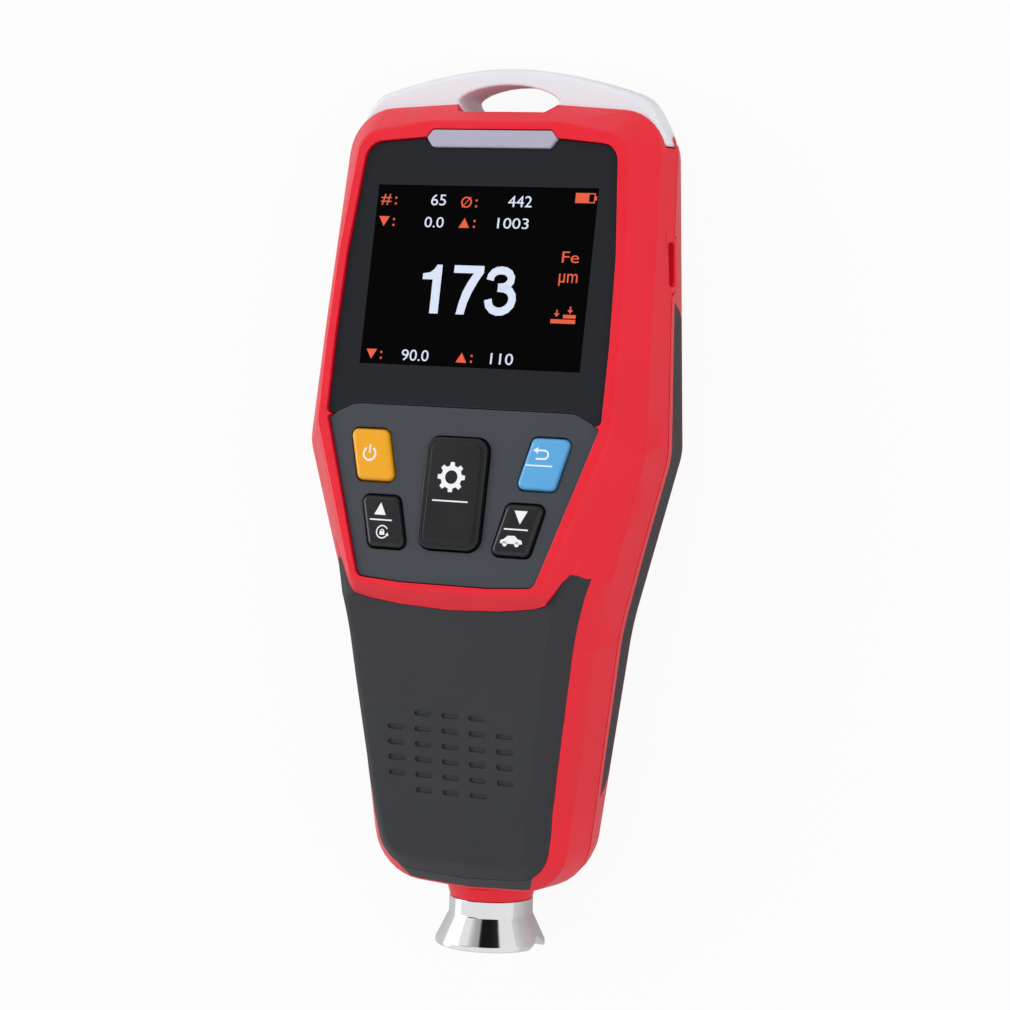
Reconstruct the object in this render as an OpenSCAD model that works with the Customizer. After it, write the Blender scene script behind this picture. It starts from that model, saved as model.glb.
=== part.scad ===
// Hand-held coating thickness gauge, lying on its flat back.
// +Z points out of the front, +Y runs toward the carrying bow, +X is the user's right.

/* [Body outline] */
// Half width at the upper corners
head_half_w = 29; // [27:0.5:32]
// Half width at the shoulders, below the display
shoulder_half_w = 31.5; // [30:0.5:34]
// Half width at the waist
waist_half_w = 23.4; // [22:0.2:25]
// Half width at the lower end
end_half_w = 17.3; // [16.5:0.1:19]
// Display centre to the top edge of the head
head_top = 29.8; // [29:0.2:32]
// Display centre to the shoulders
shoulder_drop = 29; // [27:0.5:32]
// Display centre to the waist
waist_drop = 59; // [57:0.5:62]
// Display centre to the lower end of the grip
grip_drop = 104.5; // [102:0.5:110]
// Radius of the upper corners
top_corner_r = 8; // [7:0.5:11]
// Radius of the lower corners
end_corner_r = 9; // [7:0.5:10]

/* [Body section] */
// Height of the display face above the table, at the display centre
display_z = 22.5; // [22:0.25:26]
// Tilt of the display face against the flat back, in degrees
head_tilt = 10; // [8:0.5:11]
// Wall of the two shells
wall = 2.2; // [1.8:0.1:2.6]
// Width of the bevel along the grip
bevel_w = 5.3; // [4.5:0.1:6]
// Thickness of the soft grips
grip_t = 1.2; // [0.9:0.1:1.5]
// Rounding inset of the flat back from the outline
back_inset = 4.6; // [4:0.2:5]
// Height of the seam between the shells, at the lower end
seam_z = 10.5; // [10:0.1:11]

/* [Display and keypad] */
// Width of the lit display
display_w = 41.2; // [38:0.2:43]
// Height of the lit display
display_h = 30.9; // [28:0.2:32]
// Half width of the window at its lower corners
window_half_w = 25.5; // [25:0.1:26]
// Display centre to the top edge of the window
window_top = 22.8; // [22:0.1:23.2]
// Display centre to the bottom edge of the window
window_drop = 22.2; // [21.5:0.1:22.6]
// Display centre to the bottom edge of the keypad
keypad_drop = 51.5; // [51:0.1:52.5]
// Half width of the keypad at its bottom edge
keypad_half_w = 16.4; // [15.5:0.1:17.5]
// Thickness of the window and the keypad panel
panel_t = 1.6; // [1.2:0.1:2]
// Height of the red frame above the window
frame_rise = 0.6; // [0.3:0.1:1]
// Width of the side keys
key_w = 7; // [6:0.1:7.4]
// Height of the side keys
key_h = 8.7; // [8:0.1:9]
// Width of the middle key
cal_w = 11.3; // [10:0.1:11.8]
// Height of the middle key
cal_h = 18.8; // [17:0.1:19.4]
// Height of the keys above the panel
key_rise = 0.8; // [0.5:0.1:1.2]
// Travel of the keys
key_travel = 0.6; // [0.4:0.1:0.8]
// Gap round each key
key_gap = 0.3; // [0.2:0.05:0.4]

/* [Grip slots] */
// Length of one slot in the grip
slot_l = 3.2; // [2.6:0.1:3.6]
// Width of one slot in the grip
slot_w = 0.95; // [0.7:0.05:1.2]
// Spacing of the slots along a row
slot_pitch = 5.1; // [4.6:0.1:5.4]
// Spacing of the rows of slots
slot_row_pitch = 2.65; // [2.4:0.05:2.9]
// Depth of the slots
slot_depth = 0.6; // [0.3:0.1:0.8]

/* [Carrying bow] */
// Thickness of the bow
bow_t = 5.6; // [5:0.1:6]
// Height of the bow's front face above the table
bow_z = 12.8; // [12.4:0.1:13]
// Display centre to the crown of the bow
bow_top = 35.4; // [35.2:0.1:38]
// Width of the bow above the strap hole
bow_band = 2.7; // [2.4:0.1:2.9]
// Half width of the strap hole
strap_half_w = 9.6; // [8:0.1:11]

/* [Probe] */
// Height of the probe axis above the table
probe_z = 9.9; // [9.8:0.1:10.4]
// Radius of the sleeve's upper ring
sleeve_r = 7.25; // [7:0.05:7.6]
// Radius of the sleeve's rim
rim_r = 9.5; // [9:0.1:9.6]
// Height of the sleeve's upper ring
sleeve_ring_h = 2.8; // [2:0.1:4]
// Height of the sleeve's flare
sleeve_cone_h = 4.6; // [4:0.1:6]
// Height of the sleeve's rim
rim_h = 0.9; // [0.6:0.1:1.4]
// Length of the collar outside the body
collar_l = 2.4; // [2:0.1:4]
// Radius of the measuring plunger
plunger_r = 4; // [3.6:0.1:4.2]
// Stroke of the measuring plunger
plunger_stroke = 2; // [1.5:0.1:2.4]
// Sliding clearance of the plunger
plunger_gap = 0.3; // [0.2:0.05:0.4]
// How far the pole stands out of the sleeve
pole_out = 0.7; // [0.4:0.1:1]

/* [Battery] */
// Diameter of a cell
cell_d = 10.5; // [10.2:0.1:10.6]
// Length of a cell with its cap
cell_l = 44.5; // [44:0.1:45]
// Thickness of the battery cover
cover_t = 1.8; // [1.6:0.1:1.8]
// Sliding clearance of the battery cover
cover_gap = 0.3; // [0.2:0.05:0.4]

/* [Socket] */
// Length of the socket slot in the right side
usb_l = 7.4; // [7.2:0.1:9]
// Height of the socket slot
usb_h = 3; // [2.4:0.1:3.2]
// Display centre to the middle of the socket slot
usb_y = 3; // [2:0.5:6]

/* [Hidden] */
$fn = 48;

red = [0.86, 0.16, 0.2];
grey = [0.24, 0.25, 0.26];
slate = [0.27, 0.28, 0.31];
dark = [0.13, 0.13, 0.15];
silver = [0.87, 0.86, 0.88];
steel = [0.75, 0.76, 0.78];
board_green = [0.1, 0.35, 0.2];

eps = 0.01;
reach = 60;
probe_l = collar_l + sleeve_ring_h + sleeve_cone_h + rim_h;
// Places the middle of the overall length at Y = 0
display_y = (grip_drop + probe_l + pole_out - bow_top) / 2;

// Seam between the shells sits this far outside the bevel edge
seam_out = 0.8;
// Open joint between the shells
seam_gap = 0.2;
// Heights above the table along the body, as [distance from the display centre, height]
shoulder_z = display_z - 0.7;
seam_heights = [[-grip_drop, seam_z], [-80, seam_z + 1.9], [-waist_drop, seam_z + 3.1],
    [-45, seam_z + 3.8], [-shoulder_drop, seam_z + 3.8], [-8, seam_z + 2.4], [13, seam_z - 0.1],
    [head_top + 1, seam_z - 1.9]];
edge_heights = [[-grip_drop, shoulder_z - 3.6], [-97, shoulder_z - 3], [-80, shoulder_z - 2.2],
    [-waist_drop, shoulder_z - 1.2], [-45, shoulder_z - 0.4], [-shoulder_drop, shoulder_z],
    [-8, shoulder_z - 2.8], [13, shoulder_z - 6.2], [head_top, bow_z + 0.3]];
face_heights = [[-grip_drop, display_z - 1.6], [-99, display_z + 1.2], [-96, display_z + 2.2],
    [-90, display_z + 3.7], [-82, display_z + 4.8], [-68, display_z + 6.2], [-54, display_z + 7.3],
    [-40, display_z + 4.5], [0, display_z - 3], [head_top, bow_z + 0.9]];

// Depths under the display face
board_top = -8;
board_t = 1.6;
switch_top = -6.1;
key_flange_t = 0.8;
key_flange_w = 0.7;
panel_gap = 0.2;

// Right half of the plan outline, from the top centre to the lower end, as [x, y, fillet radius]
outline_corners = [[0, head_top, 0], [head_half_w, head_top - 1.8, top_corner_r],
    [shoulder_half_w, -shoulder_drop, 12], [waist_half_w, -waist_drop, 60],
    [end_half_w, -grip_drop + 1, end_corner_r], [0, -grip_drop, 0]];

function unit(v) = v / norm(v);
function flip_x(p) = [-p.x, p.y];
function reversed(list) = [for (i = [len(list) - 1:-1:0]) list[i]];

// Arc that rounds corner b between a and c with radius r
function fillet(a, b, c, r, steps) =
    let (u = unit(a - b), v = unit(c - b), half = acos(u * v) / 2,
        centre = b + unit(u + v) * r / sin(half),
        first = b + u * r / tan(half) - centre, last = b + v * r / tan(half) - centre,
        turn = atan2(first.x * last.y - first.y * last.x, first * last))
    [for (i = [0:steps]) let (t = turn * i / steps)
        centre + [first.x * cos(t) - first.y * sin(t), first.x * sin(t) + first.y * cos(t)]];

function xy(p) = [p.x, p.y];
// Open path with its corners rounded
function rounded_path(corners, steps = 8) =
    [for (i = [0:len(corners) - 1])
        each (corners[i][2] == 0 ? [xy(corners[i])]
            : fillet(xy(corners[i - 1]), xy(corners[i]), xy(corners[i + 1]), corners[i][2], steps))];
// Closed shape with its corners rounded
function rounded_loop(corners, steps = 6) =
    let (n = len(corners))
    [for (i = [0:n - 1])
        each (corners[i][2] == 0 ? [xy(corners[i])]
            : fillet(xy(corners[(i + n - 1) % n]), xy(corners[i]), xy(corners[(i + 1) % n]),
                corners[i][2], steps))];
// Path with no step longer than the given length
function divided(path, longest) =
    [for (i = [0:len(path) - 2])
        let (a = path[i], b = path[i + 1], parts = max(1, ceil(norm(b - a) / longest)))
        each [for (k = [0:parts - 1]) a + (b - a) * k / parts],
        path[len(path) - 1]];

half_outline = divided(rounded_path(outline_corners), 7);
last_point = len(half_outline) - 1;
// Outward normal of the half outline at point i
function normal(i) = i == 0 ? [0, 1] : i == last_point ? [0, -1]
    : let (t = unit(half_outline[i + 1] - half_outline[i - 1])) [-t.y, t.x];
// Share of an outward move that is left near the lower end
end_share = 0.25;
function outward_share(y) = min(1, end_share + (y + grip_drop) / 14);
// Closed plan outline, moved inward, or outward by a negative inset
function plan(inset) =
    let (half = [for (i = [0:last_point]) let (p = half_outline[i])
        p - inset * (inset < 0 ? outward_share(p.y) : 1) * normal(i)])
    concat(half, [for (i = [last_point - 1:-1:1]) flip_x(half[i])]);
// Plan outline lifted to the heights of a table, or to one height
function ring(inset, heights, lift = 0) =
    [for (p = plan(inset)) [p.x, p.y, (is_num(heights) ? heights : lookup(p.y, heights)) + lift]];

// Solid skinned over a stack of rings, lowest first, closed by strips across each end
module skin(rings) {
    n = len(rings[0]);
    m = len(rings);
    sides = [for (k = [0:m - 2], i = [0:n - 1])
        let (j = (i + 1) % n, a = k * n + i, b = k * n + j, c = b + n, d = a + n)
        each [[a, b, c], [a, c, d]]];
    strips = [for (i = [0:n / 2 - 1])
        let (a = i, b = i + 1, c = n - i - 1, d = (n - i) % n)
        each concat(a == d ? [] : [[a, c, d]], b == c ? [] : [[a, b, c]])];
    top = [for (f = strips) f + [1, 1, 1] * (m - 1) * n];
    bottom = [for (f = strips) reversed(f)];
    polyhedron([for (r = rings) each r], concat(sides, top, bottom));
}

// Moves parts drawn about the display centre into place
module on_plan() { translate([0, display_y, 0]) children(); }
module on_display() { translate([0, display_y, display_z]) rotate([-head_tilt, 0, 0]) children(); }
// Plate on the display face between two depths
module plate(low, high) { translate([0, 0, low]) linear_extrude(high - low) children(); }
module both_sides() { children(); mirror([1, 0, 0]) children(); }

// Outlines on the display face
function mirrored(half) = concat(half, [for (p = reversed(half)) [-p.x, p.y, p[2]]]);
bar_half_w = 12.2;
arch_drop = window_drop + 2.5;
panel_joint = 0.12;
window_corners = mirrored([[bar_half_w, window_top + 0.8, 0], [window_half_w - 2.2, window_top - 0.2, 3.2],
    [window_half_w - 0.5, 3.8, 40], [window_half_w, -10.7, 0], [window_half_w, -arch_drop, 0.8],
    [window_half_w - 2, -window_drop - 1.4, 2], [window_half_w - 5, -window_drop, 4]]);
keypad_corners = mirrored([[window_half_w - 5, -window_drop - panel_joint, 4],
    [window_half_w - 2, -window_drop - 1.4 - panel_joint, 2],
    [window_half_w - 0.3, -arch_drop - 2 * panel_joint, 0.2],
    [keypad_half_w, -keypad_drop, 1.6], [keypad_half_w / 2, -keypad_drop - 0.55, 0]]);
bar_corners = mirrored([[bar_half_w - 1, window_top + 2.2, 0.8], [bar_half_w, window_top + 0.8, 0.4],
    [bar_half_w - 1.2, window_top - 0.8, 0.6]]);
frame_w = 1.9;
ridge_corners = mirrored([[bar_half_w, window_top + 3.6, 0], [window_half_w - 0.4, window_top + 1.4, 4.5],
    [window_half_w + frame_w - 0.5, 3.8, 0], [window_half_w + frame_w, -12, 0],
    [window_half_w + frame_w, -arch_drop - 1, 7], [keypad_half_w + 1.3, -keypad_drop - 0.9, 2],
    [keypad_half_w / 2, -keypad_drop - 1.7, 0]]);
chin_half_w = keypad_half_w + 2.1;
chin_depth = 2.2;
chin_corners = mirrored([[chin_half_w + 4, -keypad_drop + 6, 0], [chin_half_w, -keypad_drop - 2.9, 2],
    [chin_half_w / 2, -keypad_drop - 4.1, 0]]);

module window_shape(gap = 0) { offset(delta = gap) polygon(rounded_loop(window_corners)); }
module keypad_shape(gap = 0) { offset(delta = gap) polygon(rounded_loop(keypad_corners)); }
module bar_shape(gap = 0) { offset(delta = gap) polygon(rounded_loop(bar_corners)); }

// Keys: side keys lean inward toward the bottom
key_lean = 2.3;
upper_key = [window_half_w - 9.55, -window_drop - 8.8];
lower_key = [keypad_half_w - 3.9, 9.3 - keypad_drop];
cal_at = [0, 14.7 - keypad_drop];
key_places = [[-upper_key.x, upper_key.y], upper_key, [-lower_key.x, lower_key.y], lower_key];
module side_key_shape(at, grow = 0) {
    lean = at.x > 0 ? -key_lean / 2 : key_lean / 2;
    w = key_w / 2 + grow;
    h = key_h / 2 + grow;
    translate(at) polygon(rounded_loop([[-w - lean, h, 1.1 + grow], [w - lean, h, 1.1 + grow],
        [w + lean, -h, 1.1 + grow], [-w + lean, -h, 1.1 + grow]]));
}
module cal_key_shape(grow = 0) {
    w = cal_w / 2 + grow;
    h = cal_h / 2 + grow;
    r = 2.2 + grow;
    translate(cal_at) polygon(rounded_loop([[-w, h, r], [w, h, r], [w, -h, r], [-w, -h, r]]));
}
module all_key_shapes(grow) {
    for (at = key_places) side_key_shape(at, grow);
    cal_key_shape(grow);
}
// Cap, retaining flange under the panel, and stem over the switch
module key_body(at) {
    flange_top = -panel_t - panel_gap;
    plate(flange_top - eps, key_rise) children(0);
    plate(flange_top - key_flange_t, flange_top) children(1);
    stem_bottom = switch_top + key_travel + 0.3;
    translate([at.x, at.y, stem_bottom]) cylinder(r = 1.5, h = flange_top - key_flange_t - stem_bottom);
}
module side_key(at) {
    on_display() key_body(at) {
        side_key_shape(at);
        side_key_shape(at, key_flange_w);
    }
}

// Outer forms of the two shells
module front_body(inset = 0) {
    skin([ring(inset - seam_out, seam_heights, inset > 0 ? -1 : 0),
        ring(inset, edge_heights, -inset * 0.5),
        ring(inset + bevel_w * 0.74, face_heights, -inset - 0.75),
        ring(inset + bevel_w, face_heights, -inset)]);
}
// Raised head: the flat frame round the display, blended down to the bevel edge
head_low = 13 - waist_drop;
module head_body() {
    base = [for (p = ring(0, edge_heights)) if (p.y > head_low) p];
    hull() {
        on_display() plate(frame_rise - eps, frame_rise) polygon(rounded_loop(ridge_corners));
        on_display() plate(-chin_depth - eps, -chin_depth) polygon(rounded_loop(chin_corners));
        on_plan() for (p = base) translate(p) cube(eps, center = true);
    }
}
module rear_body(inset = 0) {
    skin([ring(inset + back_inset, inset), ring(inset + back_inset * 0.62, inset + 0.7),
        ring(inset + back_inset * 0.36, inset + 2.3), ring(inset + 0.4, seam_z * 0.6),
        ring(inset - seam_out, seam_heights, inset > 0 ? 1 : -seam_gap)]);
}

// Soft front grip: plan shape under the chin with a horn up each side
grip_edge = 2.2;
horn_top = 10.7 - waist_drop;
chin_curve = [[chin_half_w - 0.7, -keypad_drop - 2.2], [chin_half_w - 3, -keypad_drop - 2.9],
    [chin_half_w / 2, -keypad_drop - 3.7], [0, -keypad_drop - 4.1]];
// Right edge of the grip from its outer side over the horn to the middle of the chin
grip_top = concat([[reach, -2 * reach], [reach, horn_top - 0.9], [waist_half_w, horn_top - 0.9],
    [waist_half_w - 1, horn_top - 0.15], [waist_half_w - 1.8, horn_top],
    [waist_half_w - 3, horn_top - 1.35], [waist_half_w - 4.4, horn_top - 3.7]], chin_curve);
module grip_plan() {
    intersection() {
        polygon(plan(grip_edge));
        polygon(concat(grip_top, [for (p = reversed(grip_top)) if (p.x > 0) flip_x(p)]));
    }
}
module grip_space() {
    on_plan() difference() {
        linear_extrude(reach) grip_plan();
        front_body(grip_t);
    }
}
slot_rows = [3, 5, 5, 5, 5, 3];
slot_mid = -80.2;
slot_slope = 5.2;
module grip_slots() {
    for (row = [0:len(slot_rows) - 1], column = [0:slot_rows[row] - 1]) {
        y = slot_mid + (2.5 - row) * slot_row_pitch;
        x = (column - (slot_rows[row] - 1) / 2) * slot_pitch;
        translate([x, y, lookup(y, face_heights) - slot_depth]) rotate([slot_slope, 0, 0])
            linear_extrude(reach) square([slot_l, slot_w], center = true);
    }
}

// Carrying bow: plan outline round the top of the head, and its strap hole
bow_leg = 22.2;
bow_inset = 2.2;
bow_corners = mirrored([[head_half_w - 22, bow_top, 40], [head_half_w - 13, bow_top - 1.5, 40],
    [head_half_w - 2.2, bow_top - 4.3, 1.8], [head_half_w + 0.9, bow_leg, 0],
    [head_half_w - 4, bow_leg + 1, 0]]);
strap_low = head_top - 1.9;
strap_top = bow_top - bow_band;
strap_corners = mirrored([[strap_half_w - 1.4, strap_low, 0], [strap_half_w, strap_low + 1.5, 1],
    [strap_half_w - 1.2, strap_top - 1, 1.8], [strap_half_w / 2, strap_top, 9]]);
module bow_plan() {
    difference() {
        polygon(rounded_loop(bow_corners));
        polygon(plan(bow_inset));
        polygon(rounded_loop(strap_corners));
        translate([-strap_half_w + 1.4, head_top - reach]) square([2 * strap_half_w - 2.8, reach]);
    }
}
module bow_space() { on_plan() plate(bow_z - bow_t, bow_z) bow_plan(); }
// Notch in the shells under the strap hole, wider below the bow
strap_room = 2;
module strap_notch() {
    on_plan() {
        plate(0, reach) polygon(rounded_loop(strap_corners));
        for (x = [-strap_room, strap_room]) translate([x, 0, 0])
            plate(-eps, bow_z - bow_t) polygon(rounded_loop(strap_corners));
    }
}

// Socket slot and the tab of the front shell round it
usb_z = lookup(usb_y, seam_heights);
tab_half_l = usb_l / 2 + 2;
tab_drop = usb_h / 2 + 0.9;
tab_gap = 0.15;
slot_cut = 0.8;
module usb_slot() {
    on_plan() translate([shoulder_half_w - 6, usb_y, usb_z])
        rotate([90, 0, 90]) linear_extrude(reach) offset(delta = slot_cut, chamfer = true)
            square([usb_l - 2 * slot_cut, usb_h - 2 * slot_cut], center = true);
}
module tab_shape() {
    translate([usb_y, usb_z]) polygon([[-tab_half_l, 2], [-tab_half_l + 1.4, -tab_drop],
        [tab_half_l - 1.4, -tab_drop], [tab_half_l, 2]]);
}
side_lean = atan2(shoulder_half_w - head_half_w, head_top - 1.8 + shoulder_drop);
side_at_usb = head_half_w + (head_top - 1.8 - usb_y) * tan(side_lean) + seam_out;
module usb_tab() {
    on_plan() translate([side_at_usb - 0.3, usb_y, 0]) rotate([0, 0, side_lean])
        translate([-wall, -usb_y, 0]) rotate([90, 0, 90]) linear_extrude(wall) tab_shape();
}
module usb_tab_space() {
    on_plan() translate([shoulder_half_w - 6, 0, 0]) rotate([90, 0, 90]) linear_extrude(reach)
        offset(delta = tab_gap) tab_shape();
}

// Case screws, boss places about the display centre
boss_r = 2.6;
screw_r = 1.1;
head_boss = [22.5, 21.5];
grip_boss = [waist_half_w - 8, -72];
boss_places = [head_boss, flip_x(head_boss), grip_boss, flip_x(grip_boss)];
screw_head_z = 3.2;
module at_bosses() { on_plan() for (p = boss_places) translate(p) children(); }
// Upper half of each boss, from the seam into the front wall
module front_bosses() {
    on_plan() for (p = boss_places)
        let (low = lookup(p.y, seam_heights), high = lookup(p.y, edge_heights) + 2)
            translate([p.x, p.y, low]) cylinder(r = boss_r, h = high - low);
}
// Lower half of each boss, from the back up to the seam
module rear_bosses() {
    on_plan() for (p = boss_places) let (high = lookup(p.y, seam_heights))
        translate([p.x, p.y, wall / 2]) cylinder(r = boss_r, h = high - wall / 2);
}

// Board posts under the front wall
upper_post = [window_half_w - 6, -window_drop - 0.4];
lower_post = [keypad_half_w - 6.4, 2.3 - keypad_drop];
post_places = [upper_post, flip_x(upper_post), lower_post, flip_x(lower_post)];
post_r = 1.9;
module at_posts() { on_display() for (p = post_places) translate(p) children(); }

// Probe places are measured up the axis from the sleeve's end face
module on_probe() {
    translate([0, display_y - grip_drop - probe_l, probe_z]) rotate([-90, 0, 0]) children();
}
sleeve_top = rim_h + sleeve_cone_h + sleeve_ring_h;
collar_flange_at = probe_l + wall + 1.2;
collar_top = collar_flange_at + 1.6;
collar_r = sleeve_r + 0.45;
collar_flange_r = sleeve_r + 0.35;
collar_bore = 6.2;
nose_l = 3;
chamber_r = 5.4;
flange_low = nose_l + plunger_gap;
coil_low = flange_low + 1.7;
coil_top = coil_low + 4;
spigot_top = coil_top + plunger_stroke + 3;
stem_r = 2;
// Bore for the collar's neck, with a counterbore for its shoulder
module shell_bore() {
    on_probe() {
        cylinder(r = sleeve_r, h = reach);
        cylinder(r = collar_r, h = probe_l);
    }
}
module collar_groove() {
    on_probe() translate([0, 0, collar_flange_at])
        cylinder(r = collar_flange_r + 0.05, h = collar_top - collar_flange_at);
}
// Block inside the lower end that clamps the collar's flange
module probe_block(low, high) {
    on_plan() translate([-collar_r - 1.6, 1 - grip_drop, low])
        cube([2 * collar_r + 3.2, collar_top - probe_l + 1, high - low]);
}
// Thicker wall behind the strap hole
strap_back = head_top - 4.9;
module strap_block(low, high) {
    half_w = strap_half_w + strap_room + 1.5;
    on_plan() translate([-half_w, strap_back, low])
        cube([2 * half_w, strap_low - strap_back + 0.9, high - low]);
}

// Battery bay in the rear shell
bay_half_w = cell_d + 0.3;
bay_wall = 1.3;
cell_z = cover_t + 0.4 + cell_d / 2;
cell_low = -83.5;
spring_room = 4;
bay_low = cell_low - spring_room - 0.6;
bay_top = cell_low + cell_l + 0.6;
bay_roof = cell_z + cell_d / 2 + 0.4;
cover_half_w = bay_half_w + 0.2;
cover_tongue = 0.8;
tongue_t = 1;
// The open end of the cover's slot runs out by this many clearances
cover_run = 20;
rail_half_w = cover_half_w + cover_tongue + 1.2;
rail_top = cover_t + 1.6;
cover_low = -grip_drop + back_inset - 0.5;
cover_top = bay_top - 1;
module cover_shape(gap) {
    l = cover_top - cover_low + gap * (cover_run + 1);
    plate_w = 2 * (cover_half_w + gap);
    tongue_w = plate_w + 2 * cover_tongue;
    on_plan() translate([0, cover_low - gap * cover_run, 0]) {
        translate([-plate_w / 2, 0, -gap]) cube([plate_w, l, cover_t + gap]);
        translate([-tongue_w / 2, 0, cover_t - tongue_t - gap]) cube([tongue_w, l, tongue_t + 2 * gap]);
    }
}

// Coil of round wire, swept along a helix
module coil_spring(radius, wire, height, turns, sides = 6, steps = 12) {
    count = turns * steps;
    rings = [for (i = [0:count]) let (a = 360 * i / steps, z = wire + (height - 2 * wire) * i / count)
        for (k = [0:sides - 1]) let (b = 360 * k / sides, r = radius + wire * cos(b))
            [r * cos(a), r * sin(a), z + wire * sin(b)]];
    walls = [for (i = [0:count - 1], k = [0:sides - 1])
        let (j = (k + 1) % sides, a = i * sides + k, b = i * sides + j, c = b + sides, d = a + sides)
        each [[a, c, b], [a, d, c]]];
    first = [for (k = [0:sides - 1]) k];
    last = [for (k = [sides - 1:-1:0]) count * sides + k];
    polyhedron(rings, concat(walls, [first, last]));
}

module front_cavity() {
    on_plan() skin([ring(wall - 0.3, seam_heights, -4), ring(wall - 0.3, seam_heights, 0),
        ring(wall + 0.3, edge_heights, -1.4), ring(bevel_w + 1.4, face_heights, -wall - 0.4)]);
}
module rear_cavity() {
    on_plan() skin([ring(back_inset + 1.2, wall), ring(wall + 0.8, wall + 2.2),
        ring(wall - 0.3, seam_heights, 1)]);
}

module front_shell() color(red) {
    difference() {
        union() {
            difference() {
                union() {
                    on_plan() front_body();
                    head_body();
                }
                front_cavity();
            }
            front_bosses();
            at_posts() translate([0, 0, board_top]) cylinder(r = post_r, h = -board_top - panel_t - 1);
            usb_tab();
            strap_block(lookup(strap_back, seam_heights), bow_z);
            probe_block(seam_z + 0.6, probe_z + collar_r + 1.2);
        }
        grip_space();
        on_display() {
            plate(-panel_t, reach) union() {
                window_shape(0.15);
                keypad_shape(0.15);
            }
            plate(board_top, 0) square([lcd_w, lcd_h], center = true);
            plate(board_top, 0) all_key_shapes(key_flange_w + key_gap);
            plate(led_low - 0.8, reach) bar_shape(0.15);
        }
        at_posts() translate([0, 0, board_top - 1]) cylinder(r = 0.9, h = 5);
        at_bosses() cylinder(r = screw_r, h = screw_top);
        bow_space();
        strap_notch();
        usb_slot();
        shell_bore();
        collar_groove();
    }
}

module front_grip() color(grey) {
    difference() {
        intersection() {
            on_plan() front_body();
            grip_space();
        }
        on_plan() grip_slots();
        shell_bore();
    }
}

module display_window() color(dark) {
    on_display() difference() {
        plate(-panel_t, 0) window_shape();
        plate(-reach, reach) bar_shape(0.15);
    }
}
module keypad_panel() color(slate) {
    on_display() plate(-panel_t, 0) difference() {
        keypad_shape();
        all_key_shapes(key_gap);
    }
}
bar_low = -2.6;
led_low = -3.7;
led_pitch = bar_half_w - 5.2;
module light_bar() color([0.72, 0.71, 0.78]) { on_display() plate(bar_low, frame_rise) bar_shape(); }
module indicator_leds() color(board_green) {
    on_display() {
        plate(led_low - 0.8, led_low) translate([0, window_top + 0.7])
            square([2 * bar_half_w - 4.4, 2.4], center = true);
        for (x = [-led_pitch, 0, led_pitch]) plate(led_low - eps, bar_low)
            translate([x, window_top + 0.7]) square([2.8, 1.4], center = true);
    }
}
module top_handle() color(silver) { bow_space(); }

module power_key() color([0.97, 0.7, 0.12]) side_key(key_places[0]);
module clear_key() color([0.37, 0.69, 0.9]) side_key(key_places[1]);
module up_key() color(dark) side_key(key_places[2]);
module down_key() color(dark) side_key(key_places[3]);
module cal_key() color(dark) {
    on_display() {
        key_body(cal_at) {
            cal_key_shape();
            cal_key_shape(key_flange_w);
        }
        plate(key_rise - eps, key_rise + 0.3) cal_key_shape(-1.1);
    }
}

lcd_w = display_w + 4.8;
lcd_h = display_h + 4.1;
module lcd_module() color(dark) {
    on_display() plate(board_top, -panel_t) square([lcd_w, lcd_h], center = true);
}
module key_switches() color(steel) {
    on_display() for (at = concat(key_places, [cal_at])) translate([at.x, at.y, board_top])
        linear_extrude(switch_top - board_top) square(4.5, center = true);
}
board_half_w = window_half_w - 1.1;
board_high = window_top - 5.8;
board_corners = mirrored([[board_half_w - 2.4, board_high, 0], [board_half_w, board_high - 3, 0],
    [board_half_w, -window_drop - 2.8, 0], [keypad_half_w - 2.9, -keypad_drop, 0]]);
module main_board() color(board_green) {
    on_display() difference() {
        plate(board_top - board_t, board_top) polygon(rounded_loop(board_corners));
        for (p = post_places) translate([p.x, p.y, board_top - reach / 2]) cylinder(r = 1, h = reach);
    }
}
module board_screws() color(steel) {
    at_posts() {
        translate([0, 0, board_top - board_t - 1.2]) cylinder(r = 1.8, h = 1.2);
        translate([0, 0, board_top - board_t - eps]) cylinder(r = 0.85, h = board_t + 3);
    }
}
buzzer_r = 5.5;
buzzer_h = 3;
buzzer_at = [-9, -6];
module buzzer() color(dark) {
    on_display() translate([buzzer_at.x, buzzer_at.y, board_top - board_t - buzzer_h])
        cylinder(r = buzzer_r, h = buzzer_h);
}
socket_l = 8.6;
socket_low = side_at_usb - wall - 1 - socket_l;
socket_h = 2.5;
module usb_socket() color(steel) {
    w = usb_l - 0.5;
    skin_t = 0.4;
    on_display() translate([socket_low, usb_y - w / 2, board_top - board_t - socket_h]) difference() {
        cube([socket_l, w, socket_h]);
        translate([3, skin_t, skin_t]) cube([reach, w - 2 * skin_t, socket_h - 2 * skin_t]);
    }
}

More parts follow.
